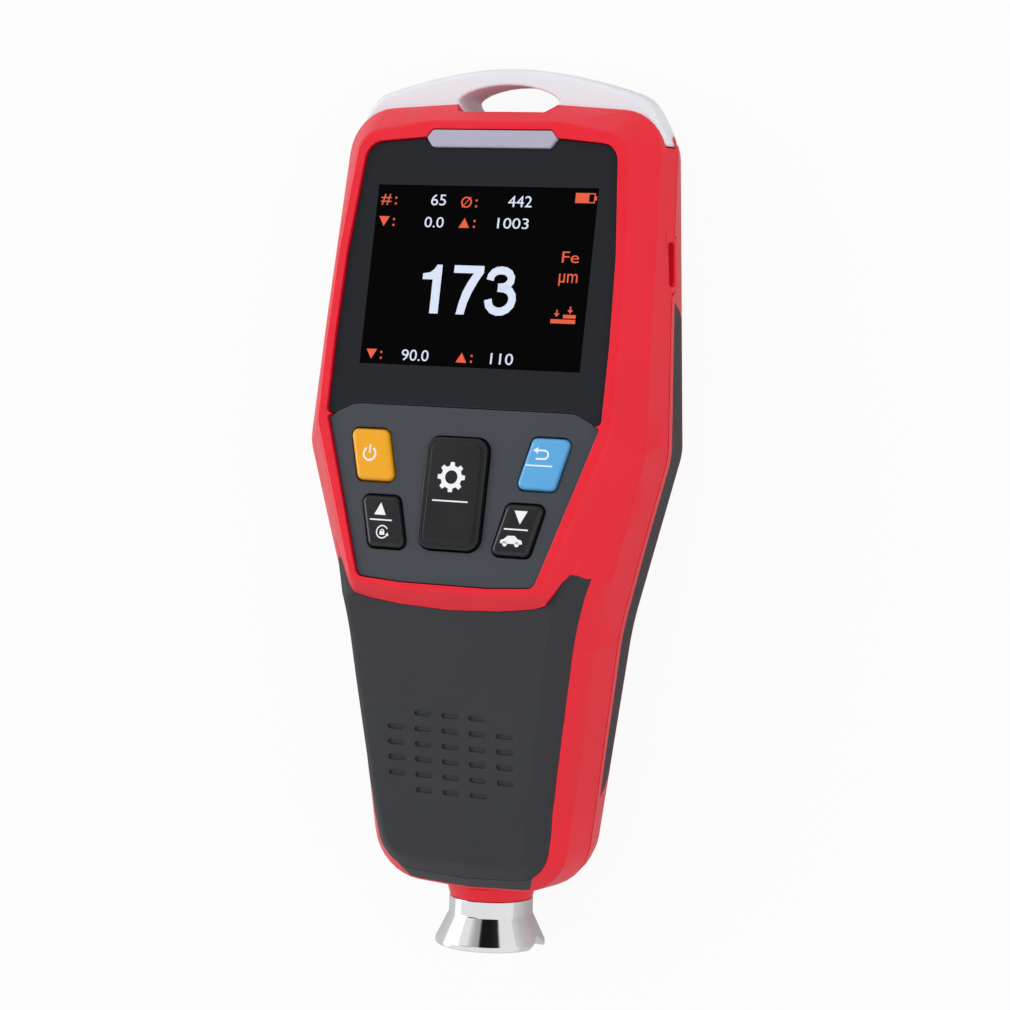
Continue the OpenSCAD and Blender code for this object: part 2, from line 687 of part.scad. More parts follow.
module rear_shell() color(red) {
    difference() {
        union() {
            difference() {
                on_plan() rear_body();
                rear_cavity();
            }
            rear_bosses();
            on_plan() {
                translate([-bay_half_w - bay_wall, bay_low - bay_wall, wall / 2])
                    cube([2 * (bay_half_w + bay_wall), bay_top - bay_low + 2 * bay_wall,
                        bay_roof + bay_wall - wall / 2]);
                translate([-rail_half_w, cover_low + 1, wall / 2])
                    cube([2 * rail_half_w, cover_top + 1.5 - cover_low, rail_top - wall / 2]);
            }
            strap_block(wall / 2, lookup(head_top - 1, seam_heights));
            probe_block(wall / 2, seam_z);
        }
        on_plan() translate([-bay_half_w, bay_low, -1])
            cube([2 * bay_half_w, bay_top - bay_low, bay_roof + 1]);
        cover_shape(cover_gap);
        side_space();
        bow_space();
        strap_notch();
        usb_tab_space();
        shell_bore();
        collar_groove();
        at_bosses() {
            translate([0, 0, -1]) cylinder(r = screw_r + 0.15, h = reach);
            translate([0, 0, -1]) cylinder(r = 2, h = screw_head_z + 1);
        }
    }
}

// Soft strips along the sides of the rear shell
side_top = usb_y - tab_half_l - 0.5;
side_low = -88;
side_reveal = 2.4;
module side_space() {
    seam = [for (y = [side_top, -8, -shoulder_drop, -45, -waist_drop, -80, side_low])
        [y, lookup(y, seam_heights) - side_reveal]];
    on_plan() difference() {
        rotate([90, 0, 90]) linear_extrude(2 * reach, center = true)
            polygon(concat(seam, [[side_low + 3, 2.4], [side_top - 3, 2.4]]));
        rear_body(grip_t);
    }
}
module side_grips() {
    intersection() {
        on_plan() rear_body();
        side_space();
    }
}
module side_grip(side) {
    intersection() {
        side_grips();
        translate([side * reach / 2, 0, 0]) cube([reach, 6 * reach, 2 * reach], center = true);
    }
}
module side_grip_left() color(grey) side_grip(-1);
module side_grip_right() color(grey) side_grip(1);

module battery_cover() color(red) cover_shape(0);
module battery_cell(x) {
    on_plan() translate([x, cell_low, cell_z]) rotate([-90, 0, 0]) {
        cylinder(d = cell_d, h = cell_l - 0.8);
        cylinder(d = 3.8, h = cell_l);
    }
}
cell_x = bay_half_w / 2;
contact_t = 0.4;
contact_w = 8;
contact_wire = 0.35;
module battery_cell_1() color([0.2, 0.2, 0.22]) battery_cell(-cell_x);
module battery_cell_2() color([0.2, 0.2, 0.22]) battery_cell(cell_x);
module battery_springs() color(steel) {
    on_plan() for (x = [-cell_x, cell_x]) translate([x, bay_low + contact_t, cell_z]) rotate([-90, 0, 0])
        coil_spring(cell_d * 0.29, contact_wire, cell_low - bay_low - contact_t, 3);
}
module battery_contacts() color(steel) {
    on_plan() for (x = [-cell_x, cell_x]) translate([x - contact_w / 2, 0, cell_z - contact_w / 2]) {
        translate([0, bay_low, 0]) cube([contact_w, contact_t, contact_w]);
        translate([0, bay_top - 0.5, 0]) cube([contact_w, 0.5, contact_w]);
    }
}

module probe_collar() color(red) {
    on_probe() rotate_extrude() polygon([[collar_bore, sleeve_top], [sleeve_r - 0.15, sleeve_top],
        [collar_r, probe_l - 0.4], [collar_r, probe_l], [sleeve_r, probe_l], [sleeve_r, collar_flange_at],
        [collar_flange_r, collar_flange_at], [collar_flange_r, collar_top], [collar_bore, collar_top]]);
}
groove_half_w = 3.2;
groove_depth = 2.2;
module probe_sleeve() color(steel) {
    on_probe() difference() {
        rotate_extrude() polygon([[plunger_r + plunger_gap, 0], [rim_r - 0.2, 0], [rim_r, 0.2],
            [rim_r, rim_h], [sleeve_r, rim_h + sleeve_cone_h], [sleeve_r, sleeve_top],
            [collar_bore, sleeve_top], [collar_bore, spigot_top], [chamber_r, spigot_top],
            [chamber_r, nose_l], [plunger_r + plunger_gap, nose_l]]);
        rotate([90, 0, 90]) linear_extrude(2 * reach, center = true)
            polygon([[-groove_half_w, -eps], [groove_half_w, -eps], [0, groove_depth]]);
    }
}
module probe_tip() color(steel) {
    on_probe() rotate_extrude() polygon(concat([[0, -pole_out]],
        [for (a = [-60:15:0]) [1.6 * cos(a), 1.6 * sin(a) + 1.6 - pole_out]],
        [[1.6, 0.6], [plunger_r, 0.6], [plunger_r, flange_low], [chamber_r - plunger_gap, flange_low],
            [chamber_r - plunger_gap, coil_low], [stem_r, coil_low], [stem_r, spigot_top + 2.5],
            [0, spigot_top + 2.5]]));
}
module probe_coil() color([0.72, 0.4, 0.2]) {
    on_probe() translate([0, 0, coil_low]) difference() {
        cylinder(r = chamber_r - 2 * plunger_gap, h = coil_top - coil_low);
        translate([0, 0, -1]) cylinder(r = stem_r, h = reach);
    }
}
module probe_spring() color(steel) {
    on_probe() translate([0, 0, coil_top]) coil_spring(3.5, 0.4, spigot_top - coil_top, 4);
}
module probe_guide() color(dark) {
    on_probe() translate([0, 0, spigot_top]) difference() {
        cylinder(r = collar_bore, h = collar_top - spigot_top);
        translate([0, 0, -1]) cylinder(r = stem_r + plunger_gap, h = reach);
    }
}
screw_top = seam_z + 6;
module case_screws() color(steel) {
    at_bosses() translate([0, 0, screw_head_z - 1.6]) {
        cylinder(r = 1.9, h = 1.6);
        cylinder(r = screw_r - 0.05, h = screw_top - screw_head_z);
    }
}

front_shell();
front_grip();
display_window();
keypad_panel();
light_bar();
top_handle();
rear_shell();
side_grip_left();
side_grip_right();
power_key();
clear_key();
cal_key();
up_key();
down_key();
key_switches();
main_board();
board_screws();
lcd_module();
indicator_leds();
buzzer();
usb_socket();
battery_cover();
battery_cell_1();
battery_cell_2();
battery_springs();
battery_contacts();
probe_collar();
probe_sleeve();
probe_tip();
probe_coil();
probe_spring();
probe_guide();
case_screws();
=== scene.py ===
"""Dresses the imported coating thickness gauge: shells, grips, display, keys, probe and a plain stage."""
import math

import bmesh
import bpy
from bpy.props import FloatProperty, FloatVectorProperty, PointerProperty
from bpy.types import Operator, Panel, PropertyGroup
from mathutils import Matrix, Vector
from mathutils.geometry import intersect_point_line
from mathutils.kdtree import KDTree


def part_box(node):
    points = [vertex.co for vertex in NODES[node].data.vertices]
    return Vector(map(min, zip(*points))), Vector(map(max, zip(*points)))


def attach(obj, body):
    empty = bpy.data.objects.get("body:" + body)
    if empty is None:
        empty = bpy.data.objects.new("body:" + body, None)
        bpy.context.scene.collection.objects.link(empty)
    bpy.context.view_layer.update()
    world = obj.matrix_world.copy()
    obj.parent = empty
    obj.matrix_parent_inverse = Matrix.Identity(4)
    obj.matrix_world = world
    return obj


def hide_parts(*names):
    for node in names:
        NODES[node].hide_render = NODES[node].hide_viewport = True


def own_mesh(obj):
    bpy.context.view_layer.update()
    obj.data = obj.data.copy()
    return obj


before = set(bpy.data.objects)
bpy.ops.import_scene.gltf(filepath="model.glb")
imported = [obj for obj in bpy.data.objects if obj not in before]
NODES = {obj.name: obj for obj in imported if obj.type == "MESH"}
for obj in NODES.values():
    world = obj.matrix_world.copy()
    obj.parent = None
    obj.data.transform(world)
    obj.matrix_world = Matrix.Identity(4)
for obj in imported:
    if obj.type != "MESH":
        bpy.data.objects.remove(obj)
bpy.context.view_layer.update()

bl_info = {
    "name": "Coating thickness gauge",
    "version": (1, 0, 0),
    "blender": (4, 5, 0),
    "location": "View3D > Sidebar > Gauge",
    "description": "Builds the looks of a hand-held coating thickness gauge round its packed frame",
    "category": "Object",
}

MM = 0.001
KEYS = ("power_key", "clear_key", "cal_key", "up_key", "down_key")
# Thickness of the printing and how far it sinks into its face, in mm, and the steps of a letter's curves
PRINT_T, PRINT_SINK = 0.03, 0.004
LETTER_STEPS = 5
# Clean-up of a CAD copy: merge distance and size of slivers in mm, and degrees between faces that are joined
MERGE, SLIVER, FLAT_TURN = 0.02, 0.01, 0.6

# Bevels: share of the free room that a width takes, and rank of the edge whose room sets the width of its run
BEVEL_WEIGHT = "bevel_weight_edge"
ROOM_SHARE, ROOM_RANK = 0.42, 0.08
# Cosines between edges: next ones of a run, ones that carry on past a corner, ones along one side of a face
CHAIN_TURN, CARRIES_ON, SAME_SIDE = -0.75, -0.7, -0.3
# A bevel that folds faces over is tried again, with a smaller width for each run near them
BEVEL_TRIES, FOLD_LIMIT, FOLD_SHARE = 6, -0.5, 0.6
# Rounding of the small pieces' edges in mm
NECK_ROUND, SLEEVE_ROUND, POLE_ROUND = 0.15, 0.12, 0.1
COVER_ROUND, SCREW_ROUND, SOCKET_ROUND, TONGUE_ROUND = 0.15, 0.08, 0.1, 0.15

# Half plan outlines of the bow, in mm from the display centre: its outer edge, its root in the shells,
# the strap hole, and the collar that lines the hole below the bow
BOW_EDGE = ((0, 35.35), (3, 35.27), (6, 35.02), (9, 34.62), (12, 34.1), (15, 33.47), (18, 32.75),
            (21, 31.95), (23.2, 31.25), (24.6, 30.6), (25.7, 29.7), (26.6, 28.5), (27.6, 26.9),
            (28.7, 24.8), (29.8, 22.4))
BOW_ROOT = ((26.6, 22.9), (25.5, 24.5), (23.7, 25.7), (21.6, 26.25), (12, 26.85))
STRAP_EDGE = ((0, 32.55), (2, 32.47), (4, 32.22), (6, 31.76), (7.6, 31.2), (8.8, 30.55), (9.5, 29.9),
              (9.2, 29.1), (8.2, 27.9), (8.2, 20))
COLLAR_EDGE = ((0, 33.85), (2.2, 33.75), (4.3, 33.48), (6.5, 32.97), (8.4, 32.3), (9.9, 31.4),
               (10.9, 30.2), (10.7, 29), (10.3, 28.3))
# Collar in mm: lowest z, half the width past which edges are the bow's own, and lap into the bow
COLLAR_LOW, COLLAR_HALF_W, COLLAR_LAP = 3.6, 11.2, 0.4
# Strap hole: how far its cutter stands out in mm, and share of the bow's rounding that its edges get
STRAP_PAST, STRAP_SHARE = 1, 0.4
# Edges of the bow: least angle in degrees, and how far below its back face one may lie, in mm
BOW_SHARP, BOW_NEAR = 40, 0.1

# Lower bevel of the front case that the soft grip covers: its ends in y, lowest z and half width at the
# lower end, in mm, and how the half width grows with y
GRIP_LOW, GRIP_TOP, GRIP_DEEP, GRIP_HALF_W = -61.4, -58.5, 18.62, 12.4
GRIP_SPLAY = 0.6
# Slots of the front grip in mm: tallest wall, radius of the new ends, and shortest run that is rounded
SLOT_WALL, SLOT_END, SLOT_ROUND = 2.5, 0.47, 10
# Share of a slot's depth by which its floor is lifted, and steps of a round end
SLOT_LIFT, END_STEPS = 0.45, 8
# How slots are found: z of an upright edge's way, its fold in radians, and z of a floor's normal
UPRIGHT, FOLDED_IN, FACES_UP = 0.85, -1, 0.8

# Sleeve: radius and distance up the axis from the end face in mm, and half width and depth of the V groove
SLEEVE_PROFILE = ((4.3, 0), (9.3, 0), (9.5, 0.2), (9.5, 0.9), (7.25, 5.5), (7.25, 8.3), (6.2, 8.3), (6.2, 14),
                  (5.4, 14), (5.4, 3), (4.3, 3))
SLEEVE_STEPS = 96
GROOVE_HALF_W, GROOVE_DEPTH = 3.2, 2.2

# Finger grooves of the battery cover: how many, and radius, length, place of the first from the cover's lower
# end, spacing and height of the axes in mm
FINGERS = 6
FINGER_R, FINGER_L, FINGER_START, FINGER_PITCH, FINGER_Z = 0.7, 13, 9, 1.9, -0.25
# Cross slots of the case screws: length, width and height of a cut in mm, turn of the cross, and how far
# above the lowest point a head's face may lie, in mm
CROSS_CUT = (2.3, 0.5, 1.4)
CROSS_TURN = math.pi / 5
HEAD_NEAR = 0.01
# Contact tongue of the socket, and how far it stands back, in mm
TONGUE = (6, 5, 0.6)
TONGUE_BACK = 0.2

# Camera: lens and sensor in mm, nearest sight and place from the display centre in m, and its ways to the
# right, up and back
LENS, SENSOR, NEAREST = 115.8, 36, 0.01
CAMERA_PLACE = (0.2428, 0.00115, 0.4892)
CAMERA_WAYS = ((0.899, 0.0307, -0.4369), (-0.059, 0.9969, -0.0513), (0.434, 0.0719, 0.8981))
# Lamps: name, place in m, power in W, width in m, and whether gloss shows it
LAMPS = (("key_lamp", (-0.8, 0.15, 0.45), 3.4, 0.6, True), ("fill_lamp", (0.75, -0.1, 0.6), 3.2, 0.7, False),
         ("top_lamp", (0.1, 0.8, 0.5), 1.6, 0.5, False))
LAMP_AIM = (0, 0, 0.01)
# Panels that show only in reflections: direction, cosines of the edge and of the full level, and the level
REFLECTED = (((-0.434, 0.24, 0.87), 0.955, 0.975, 0.04), ((0.27, 0.745, 0.61), 0.925, 0.95, 0.02),
             ((0.05, 0.77, 0.63), 0.84, 0.97, 0.45), ((-1, 0.05, 0.1), 0.88, 0.97, 1.5))
STUDIO_LIGHT = 0.62
# Floor: width in m, drop below the table in mm, and share that glows to the camera
FLOOR_W, FLOOR_DROP, FLOOR_GLOW = 6, 0.02, 0.93


def srgb(red, green, blue):
    """Linear colour from 0 to 255 display values."""
    def line(value):
        value /= 255
        return value / 12.92 if value <= 0.04045 else ((value + 0.055) / 1.055) ** 2.4
    return line(red), line(green), line(blue)


def colour(name, words, value):
    return FloatVectorProperty(name=name, description=words, subtype="COLOR", size=3, min=0, max=1,
                               default=srgb(*value))


def length(name, words, value):
    return FloatProperty(name=name, description=words, subtype="DISTANCE", unit="LENGTH", precision=5,
                         default=value * MM)


class GaugeSizes(PropertyGroup):
    display_y: length("Display centre", "Place of the display centre along the gauge", 40.25)
    display_z: length("Display height", "Height of the display centre above the table", 22.5)
    head_tilt: FloatProperty(name="Head tilt", description="Tilt of the display face", subtype="ANGLE",
                             default=math.radians(10))
    shell_round: length("Shell edges", "Rounding of the shells' edges", 0.4)
    grip_round: length("Grip edges", "Rounding of the soft grips' edges", 0.25)
    bow_round: length("Bow edges", "Rounding of the carrying bow's edges", 1.1)
    key_round: length("Key edges", "Rounding of the keys' edges", 0.8)
    panel_round: length("Panel edges", "Rounding of the window and the keypad panel", 0.12)
    key_rise: length("Key height", "Height of the side keys above the panel", 0.8)
    cal_rise: length("Middle key height", "Height of the middle key above the panel", 1.1)
    display_w: length("Display width", "Width of the lit display", 41.2)
    display_h: length("Display height", "Height of the lit display", 30.9)


class GaugeColours(PropertyGroup):
    red: colour("Red plastic", "Moulded shells, collar and battery cover", (225, 17, 42))
    grip: colour("Soft grip", "Grey rubber grips", (43, 44, 48))
    slate: colour("Slate panel", "Panel round the keys", (54, 58, 65))
    lens: colour("Window", "Dark border of the window", (40, 41, 45))
    screen: colour("Display", "Unlit display behind the window", (3, 3, 4))
    silver: colour("Silver paint", "Carrying bow", (226, 227, 234))
    bar: colour("Light pipe", "Pale bar above the display", (170, 167, 186))
    yellow: colour("Yellow key", "Power key", (234, 162, 16))
    blue: colour("Blue key", "Clear key", (86, 164, 218))
    black: colour("Black keys", "Middle key and lower keys", (22, 22, 25))
    white_mark: colour("White marks", "Marks on the keys", (238, 240, 246))
    figures: colour("Lit figures", "Numbers on the display", (216, 226, 246))
    orange_mark: colour("Orange marks", "Symbols on the display", (228, 84, 46))


def sizes():
    return bpy.context.scene.gauge_sizes


def colours():
    return bpy.context.scene.gauge_colours


# Selection and mesh tools

def deselect():
    if bpy.context.object and bpy.context.object.mode != "OBJECT":
        bpy.ops.object.mode_set(mode="OBJECT")
    bpy.ops.object.select_all(action="DESELECT")


def pick(*objects):
    """Selects only these objects; the first is active."""
    deselect()
    for obj in objects:
        obj.select_set(True)
    bpy.context.view_layer.objects.active = objects[0]


def edit_all(obj):
    pick(obj)
    bpy.ops.object.mode_set(mode="EDIT")
    bpy.ops.mesh.select_all(action="SELECT")


def end_edit():
    bpy.ops.object.mode_set(mode="OBJECT")


def apply_modifier(obj, kind, **settings):
    pick(obj)
    modifier = obj.modifiers.new(kind.lower(), kind)
    for key, value in settings.items():
        setattr(modifier, key, value)
    bpy.ops.object.modifier_apply(modifier=modifier.name)


def even_normals(obj, angle=35):
    """Smooth edges, with flat faces kept flat."""
    pick(obj)
    bpy.ops.object.shade_smooth_by_angle(angle=math.radians(angle))
    apply_modifier(obj, "WEIGHTED_NORMAL", keep_sharp=True)


def edge_room(edge, sharp, width, run):
    """How far an edge can be rounded before it meets other edges of its faces, apart from its own run."""
    room = width
    for vert in edge.verts:
        along = (edge.other_vert(vert).co - vert.co).normalized()
        for other in vert.link_edges:
            if other is edge:
                continue
            reach = other.other_vert(vert).co - vert.co
            if reach.length > 0 and not (other in sharp and reach.normalized().dot(along) < CARRIES_ON):
                room = min(room, ROOM_SHARE * (reach - along * reach.dot(along)).length)
    for face in edge.link_faces:
        ways = {loop.edge: (loop.link_loop_next.vert.co - loop.vert.co).normalized() for loop in face.loops}
        for other in face.edges:
            if other is edge or set(other.verts) & set(edge.verts):
                continue
            if other in run and ways[other].dot(ways[edge]) > SAME_SIDE:
                continue
            for corners, line in ((edge.verts, other), (other.verts, edge)):
                for vert in corners:
                    near, part = intersect_point_line(vert.co, line.verts[0].co, line.verts[1].co)
                    if 0 <= part <= 1:
                        room = min(room, ROOM_SHARE * (near - vert.co).length)
            for first in edge.verts:
                for second in other.verts:
                    room = min(room, ROOM_SHARE * (first.co - second.co).length)
    return room


def turned_over(mesh):
    """Corners of the faces that a bevel has folded over, back to back with their two long neighbours."""
    shape = bmesh.new()
    shape.from_mesh(mesh)
    corners = []
    for face in shape.faces:
        sides = sorted(face.edges, key=lambda edge: -edge.calc_length())[:2]
        beside = [other for edge in sides for other in edge.link_faces if other is not face]
        if len(beside) == 2 and all(face.normal.dot(other.normal) < FOLD_LIMIT for other in beside):
            corners += [v.co.copy() for v in face.verts]
    shape.free()
    return corners


def edge_chains(sharp):
    """Runs of sharp edges that turn little from one to the next, so that one width suits each run."""
    chain = {edge: [edge] for edge in sharp}
    for vert in {v for edge in sharp for v in edge.verts}:
        pair = [edge for edge in vert.link_edges if edge in sharp]
        if len(pair) != 2 or chain[pair[0]] is chain[pair[1]]:
            continue
        ways = [(edge.other_vert(vert).co - vert.co).normalized() for edge in pair]
        if ways[0].dot(ways[1]) < CHAIN_TURN:
            joined = chain[pair[0]] + chain[pair[1]]
            for edge in joined:
                chain[edge] = joined
    return list({id(run): run for run in chain.values()}.values())


def round_edges(obj, width, segments=3, angle=35, shortest=0.0):
    """Rounds the sharp edges, each run of them by as much as the faces beside it leave room for."""
    mesh = bmesh.new()
    mesh.from_mesh(obj.data)
    weight = mesh.edges.layers.float.new(BEVEL_WEIGHT)
    sharp = {e for e in mesh.edges if len(e.link_faces) == 2 and e.calc_face_angle(0) > math.radians(angle)}
    chains = [run for run in edge_chains(sharp) if sum(edge.calc_length() for edge in run) >= shortest]
    shares = []
    for run in chains:
        members = set(run)
        rooms = sorted(edge_room(edge, sharp, width, members) for edge in run)
        shares.append(rooms[int(len(rooms) * ROOM_RANK)] / width)
    for _ in range(BEVEL_TRIES):
        for run, share in zip(chains, shares):
            for edge in run:
                edge[weight] = share
        mesh.to_mesh(obj.data)
        apply_modifier(obj, "BEVEL", width=width, segments=segments, limit_method="WEIGHT",
                       use_clamp_overlap=False, miter_outer="MITER_SHARP")
        folds = turned_over(obj.data)
        if not folds:
            break
        tree = KDTree(len(folds))
        for i, corner in enumerate(folds):
            tree.insert(corner, i)
        tree.balance()
        for i, run in enumerate(chains):
            if min(tree.find(v.co)[2] for edge in run for v in edge.verts) < width:
                shares[i] *= FOLD_SHARE
    mesh.free()


def copy_node(node, name):
    """A merged copy of a CAD node's mesh, ready to be shaped."""
    obj = bpy.data.objects.new(name, NODES[node].data.copy())
    bpy.context.scene.collection.objects.link(obj)
    edit_all(obj)
    bpy.ops.mesh.remove_doubles(threshold=MERGE * MM)
    bpy.ops.mesh.dissolve_degenerate(threshold=SLIVER * MM)
    bpy.ops.mesh.select_all(action="SELECT")
    bpy.ops.mesh.dissolve_limited(angle_limit=math.radians(FLAT_TURN))
    end_edit()
    return obj


def finish_piece(obj, material, slot, body, *replaced):
    """Gives a piece its material and the body that it rides on; the slot is not used."""
    obj.data.materials.clear()
    obj.data.materials.append(material)
    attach(obj, body)
    if replaced:
        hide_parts(*replaced)
    return obj


def dress(node, name, material, slot, width, body="case", segments=3, angle=35):
    """Replaces a CAD node by a copy with rounded edges."""
    obj = copy_node(node, name)
    round_edges(obj, width, segments, angle)
    even_normals(obj, angle)
    return finish_piece(obj, material, slot, body, node)


def paint(node, material):
    NODES[node].data.materials.clear()
    NODES[node].data.materials.append(material)


def on_display(height=0.0):
    """Matrix from the display face, in metres from its centre, to the frame."""
    size = sizes()
    return (Matrix.Translation((0, size.display_y, size.display_z))
            @ Matrix.Rotation(-size.head_tilt, 4, "X") @ Matrix.Translation((0, 0, height)))


def flat_mark(points, thick=PRINT_T):
    """Thin print whose outline is given in mm on the display face."""
    deselect()
    bpy.ops.mesh.primitive_circle_add(vertices=len(points), radius=MM, fill_type="NGON")
    obj = bpy.context.object
    for vertex, (x, y) in zip(obj.data.vertices, points):
        vertex.co = (x * MM, y * MM, 0)
    edit_all(obj)
    bpy.ops.mesh.extrude_region_move(TRANSFORM_OT_translate={"value": (0, 0, thick * MM)})
    bpy.ops.mesh.select_all(action="SELECT")
    bpy.ops.mesh.normals_make_consistent(inside=False)
    end_edit()
    return obj


def plan_plate(half, low, high):
    """Plate between two heights, from half its plan outline in mm from the display centre."""
    obj = flat_mark(list(half) + [(-x, y) for x, y in reversed(half) if x > 0], high - low)
    obj.data.transform(Matrix.Translation((0, sizes().display_y, low * MM)))
    return obj


def joined(objects):
    """Joins objects into the first of them."""
    pick(*objects)
    if len(objects) > 1:
        bpy.ops.object.join()
    return bpy.context.object


def combine(obj, other, operation, **settings):
    """Joins or cuts a piece with another solid, which is used up."""
    apply_modifier(obj, "BOOLEAN", operation=operation, object=other, solver="EXACT", **settings)
    bpy.data.objects.remove(other)


def bar_mark(x0, y0, x1, y1):
    return flat_mark([(x0, y0), (x1, y0), (x1, y1), (x0, y1)])


def stroke_mark(path, width):
    """Stroke of one width along a path in mm."""
    left, right = [], []
    for i, (x, y) in enumerate(path):
        before, after = path[max(i - 1, 0)], path[min(i + 1, len(path) - 1)]
        along = Vector((after[0] - before[0], after[1] - before[1])).normalized() * width / 2
        left.append((x - along.y, y + along.x))
        right.append((x + along.y, y - along.x))
    return flat_mark(right + left[::-1])


def arc_mark(x, y, radius, width, start, stop, steps=24):
    """Stroke along an arc, from one angle to another in degrees."""
    turns = [math.radians(start + (stop - start) * i / steps) for i in range(steps + 1)]
    outer = [(x + (radius + width / 2) * math.cos(t), y + (radius + width / 2) * math.sin(t)) for t in turns]
    inner = [(x + (radius - width / 2) * math.cos(t), y + (radius - width / 2) * math.sin(t)) for t in turns]
    return flat_mark(outer + inner[::-1])


def text_mark(text, x0, y0, x1, y1):
    """Figures made a mesh and fitted to a box in mm on the display face."""
    deselect()
    bpy.ops.object.text_add()
    obj = bpy.context.object
    obj.data.body = text
    obj.data.resolution_u = LETTER_STEPS
    obj.data.extrude = PRINT_T
    bpy.ops.object.convert(target="MESH")
    low = [min(v.co[i] for v in obj.data.vertices) for i in range(3)]
    high = [max(v.co[i] for v in obj.data.vertices) for i in range(3)]
    goal = ((x0, x1), (y0, y1), (0, PRINT_T))
    for vertex in obj.data.vertices:
        shares = [(c - a) / (b - a) for c, a, b in zip(vertex.co, low, high)]
        vertex.co = [(start + share * (stop - start)) * MM for share, (start, stop) in zip(shares, goal)]
    return obj


def print_marks(marks, name, height, material, slot, body):
    """Joins flat marks into one printed piece on the display face."""
    obj = joined(marks)
    obj.name = name
    obj.data.transform(on_display(height - PRINT_SINK * MM))
    obj.matrix_world = Matrix.Identity(4)
    return finish_piece(obj, material, slot, body)


# Materials

class Wire:
    """A shader socket that takes part in Python expressions."""

    def __init__(self, finish, socket):
        self.finish = finish
        self.socket = socket

    def math(self, operation, first, second):
        return self.finish.add("ShaderNodeMath", {"operation": operation}, {0: first, 1: second})

    def __add__(self, other):
        return self.math("ADD", self, other)

    def __radd__(self, other):
        return self.math("ADD", other, self)

    def __sub__(self, other):
        return self.math("SUBTRACT", self, other)

    def __rsub__(self, other):
        return self.math("SUBTRACT", other, self)

    def __mul__(self, other):
        return self.math("MULTIPLY", self, other)

    def __rmul__(self, other):
        return self.math("MULTIPLY", other, self)

    def __gt__(self, other):
        return self.math("GREATER_THAN", self, other)

    def __lt__(self, other):
        return self.math("LESS_THAN", self, other)

    def __abs__(self):
        return self.finish.add("ShaderNodeMath", {"operation": "ABSOLUTE"}, {0: self})


class Finish:
    """Builds one procedural material."""

    def __init__(self, name, tree=None):
        if tree is None:
            self.material = bpy.data.materials.new(name)
            self.material.use_nodes = True
            tree = self.material.node_tree
        self.tree = tree
        self.tree.nodes.clear()

    def add(self, kind, settings, sockets, out=0):
        """Adds a node: its settings first, then the values or links of its sockets."""
        node = self.tree.nodes.new(kind)
        for key, value in settings.items():
            setattr(node, key, value)
        for key, value in sockets.items():
            if isinstance(value, Wire):
                self.tree.links.new(value.socket, node.inputs[key])
            else:
                node.inputs[key].default_value = value
        if isinstance(out, tuple):
            return [Wire(self, node.outputs[key]) for key in out]
        return Wire(self, node.outputs[out]) if node.outputs else None

    def place(self):
        return self.add("ShaderNodeTexCoord", {}, {}, "Object")

    def noise(self, size_mm, detail=2.0, stretch=(1, 1, 1)):
        """Cloudy pattern whose features are about this large."""
        spot = self.add("ShaderNodeMapping", {}, {"Vector": self.place(), "Scale": stretch})
        return self.add("ShaderNodeTexNoise", {}, {"Vector": spot, "Scale": 1000 / size_mm, "Detail": detail})

    def blend(self, factor, first, second):
        """Colour between two colours."""
        return self.add("ShaderNodeMix", {"data_type": "RGBA"}, {0: factor, 6: first, 7: second}, 2)

    def bump(self, height, depth_mm, strength=1.0):
        sockets = {"Height": height, "Distance": depth_mm * MM, "Strength": strength}
        return self.add("ShaderNodeBump", {}, sockets)

    def surface(self, **sockets):
        """Principled shader with sockets named in words joined by underscores."""
        named = {key.replace("_", " "): value for key, value in sockets.items()}
        shader = self.add("ShaderNodeBsdfPrincipled", {}, named)
        self.add("ShaderNodeOutputMaterial", {}, {"Surface": shader})
        return self.material


def opaque(shade, gain=1.0):
    return (*(min(1.0, c * gain) for c in shade), 1.0)


def moulded(name, shade, rough, grain_mm, grain_depth, spread=0.1, gloss=0.5, rubber=None):
    """Moulded plastic or rubber: soft clouds of colour, spark-eroded grain and uneven gloss."""
    f = Finish(name)
    cloud = f.noise(14, 2)
    grain = f.noise(grain_mm, 3)
    worn = f.noise(3.5, 4)
    tint = f.blend(cloud, opaque(shade, 1 - spread), opaque(shade, 1 + spread))
    if rubber:
        # The soft grip runs down over the bevel of the lower end
        x, y, z = f.add("ShaderNodeSeparateXYZ", {}, {0: f.place()}, (0, 1, 2))
        half_w = (y - GRIP_LOW * MM) * GRIP_SPLAY + GRIP_HALF_W * MM
        lower = (abs(x) < half_w) * (y < GRIP_TOP * MM) * (z > GRIP_DEEP * MM)
        tint = f.blend(lower, tint, f.blend(cloud, opaque(rubber, 1 - spread), opaque(rubber, 1 + spread)))
        rough = lower * 0.2 + rough
    return f.surface(Base_Color=tint, Roughness=(grain - 0.5) * 0.16 + (worn - 0.5) * 0.12 + rough,
                     Normal=f.bump(grain, grain_depth), Specular_IOR_Level=gloss)


def window_gloss():
    """Window, where the display shows as a deeper black field behind the gloss."""
    c = colours()
    size = sizes()
    f = Finish("window_gloss")
    centre = (0, size.display_y, size.display_z)
    at = f.add("ShaderNodeMapping", {"vector_type": "TEXTURE"},
               {"Vector": f.place(), "Location": centre, "Rotation": (-size.head_tilt, 0, 0)})
    x, y = f.add("ShaderNodeSeparateXYZ", {}, {0: at}, (0, 1))
    lit = (abs(x) < size.display_w / 2) * (abs(y) < size.display_h / 2)
    smear = f.noise(6, 3)
    return f.surface(Base_Color=f.blend(lit, opaque(c.lens), opaque(c.screen)), Roughness=smear * 0.08 + 0.06,
                     Normal=f.bump(f.noise(9, 1), 0.01, 0.3), Specular_IOR_Level=0.35)


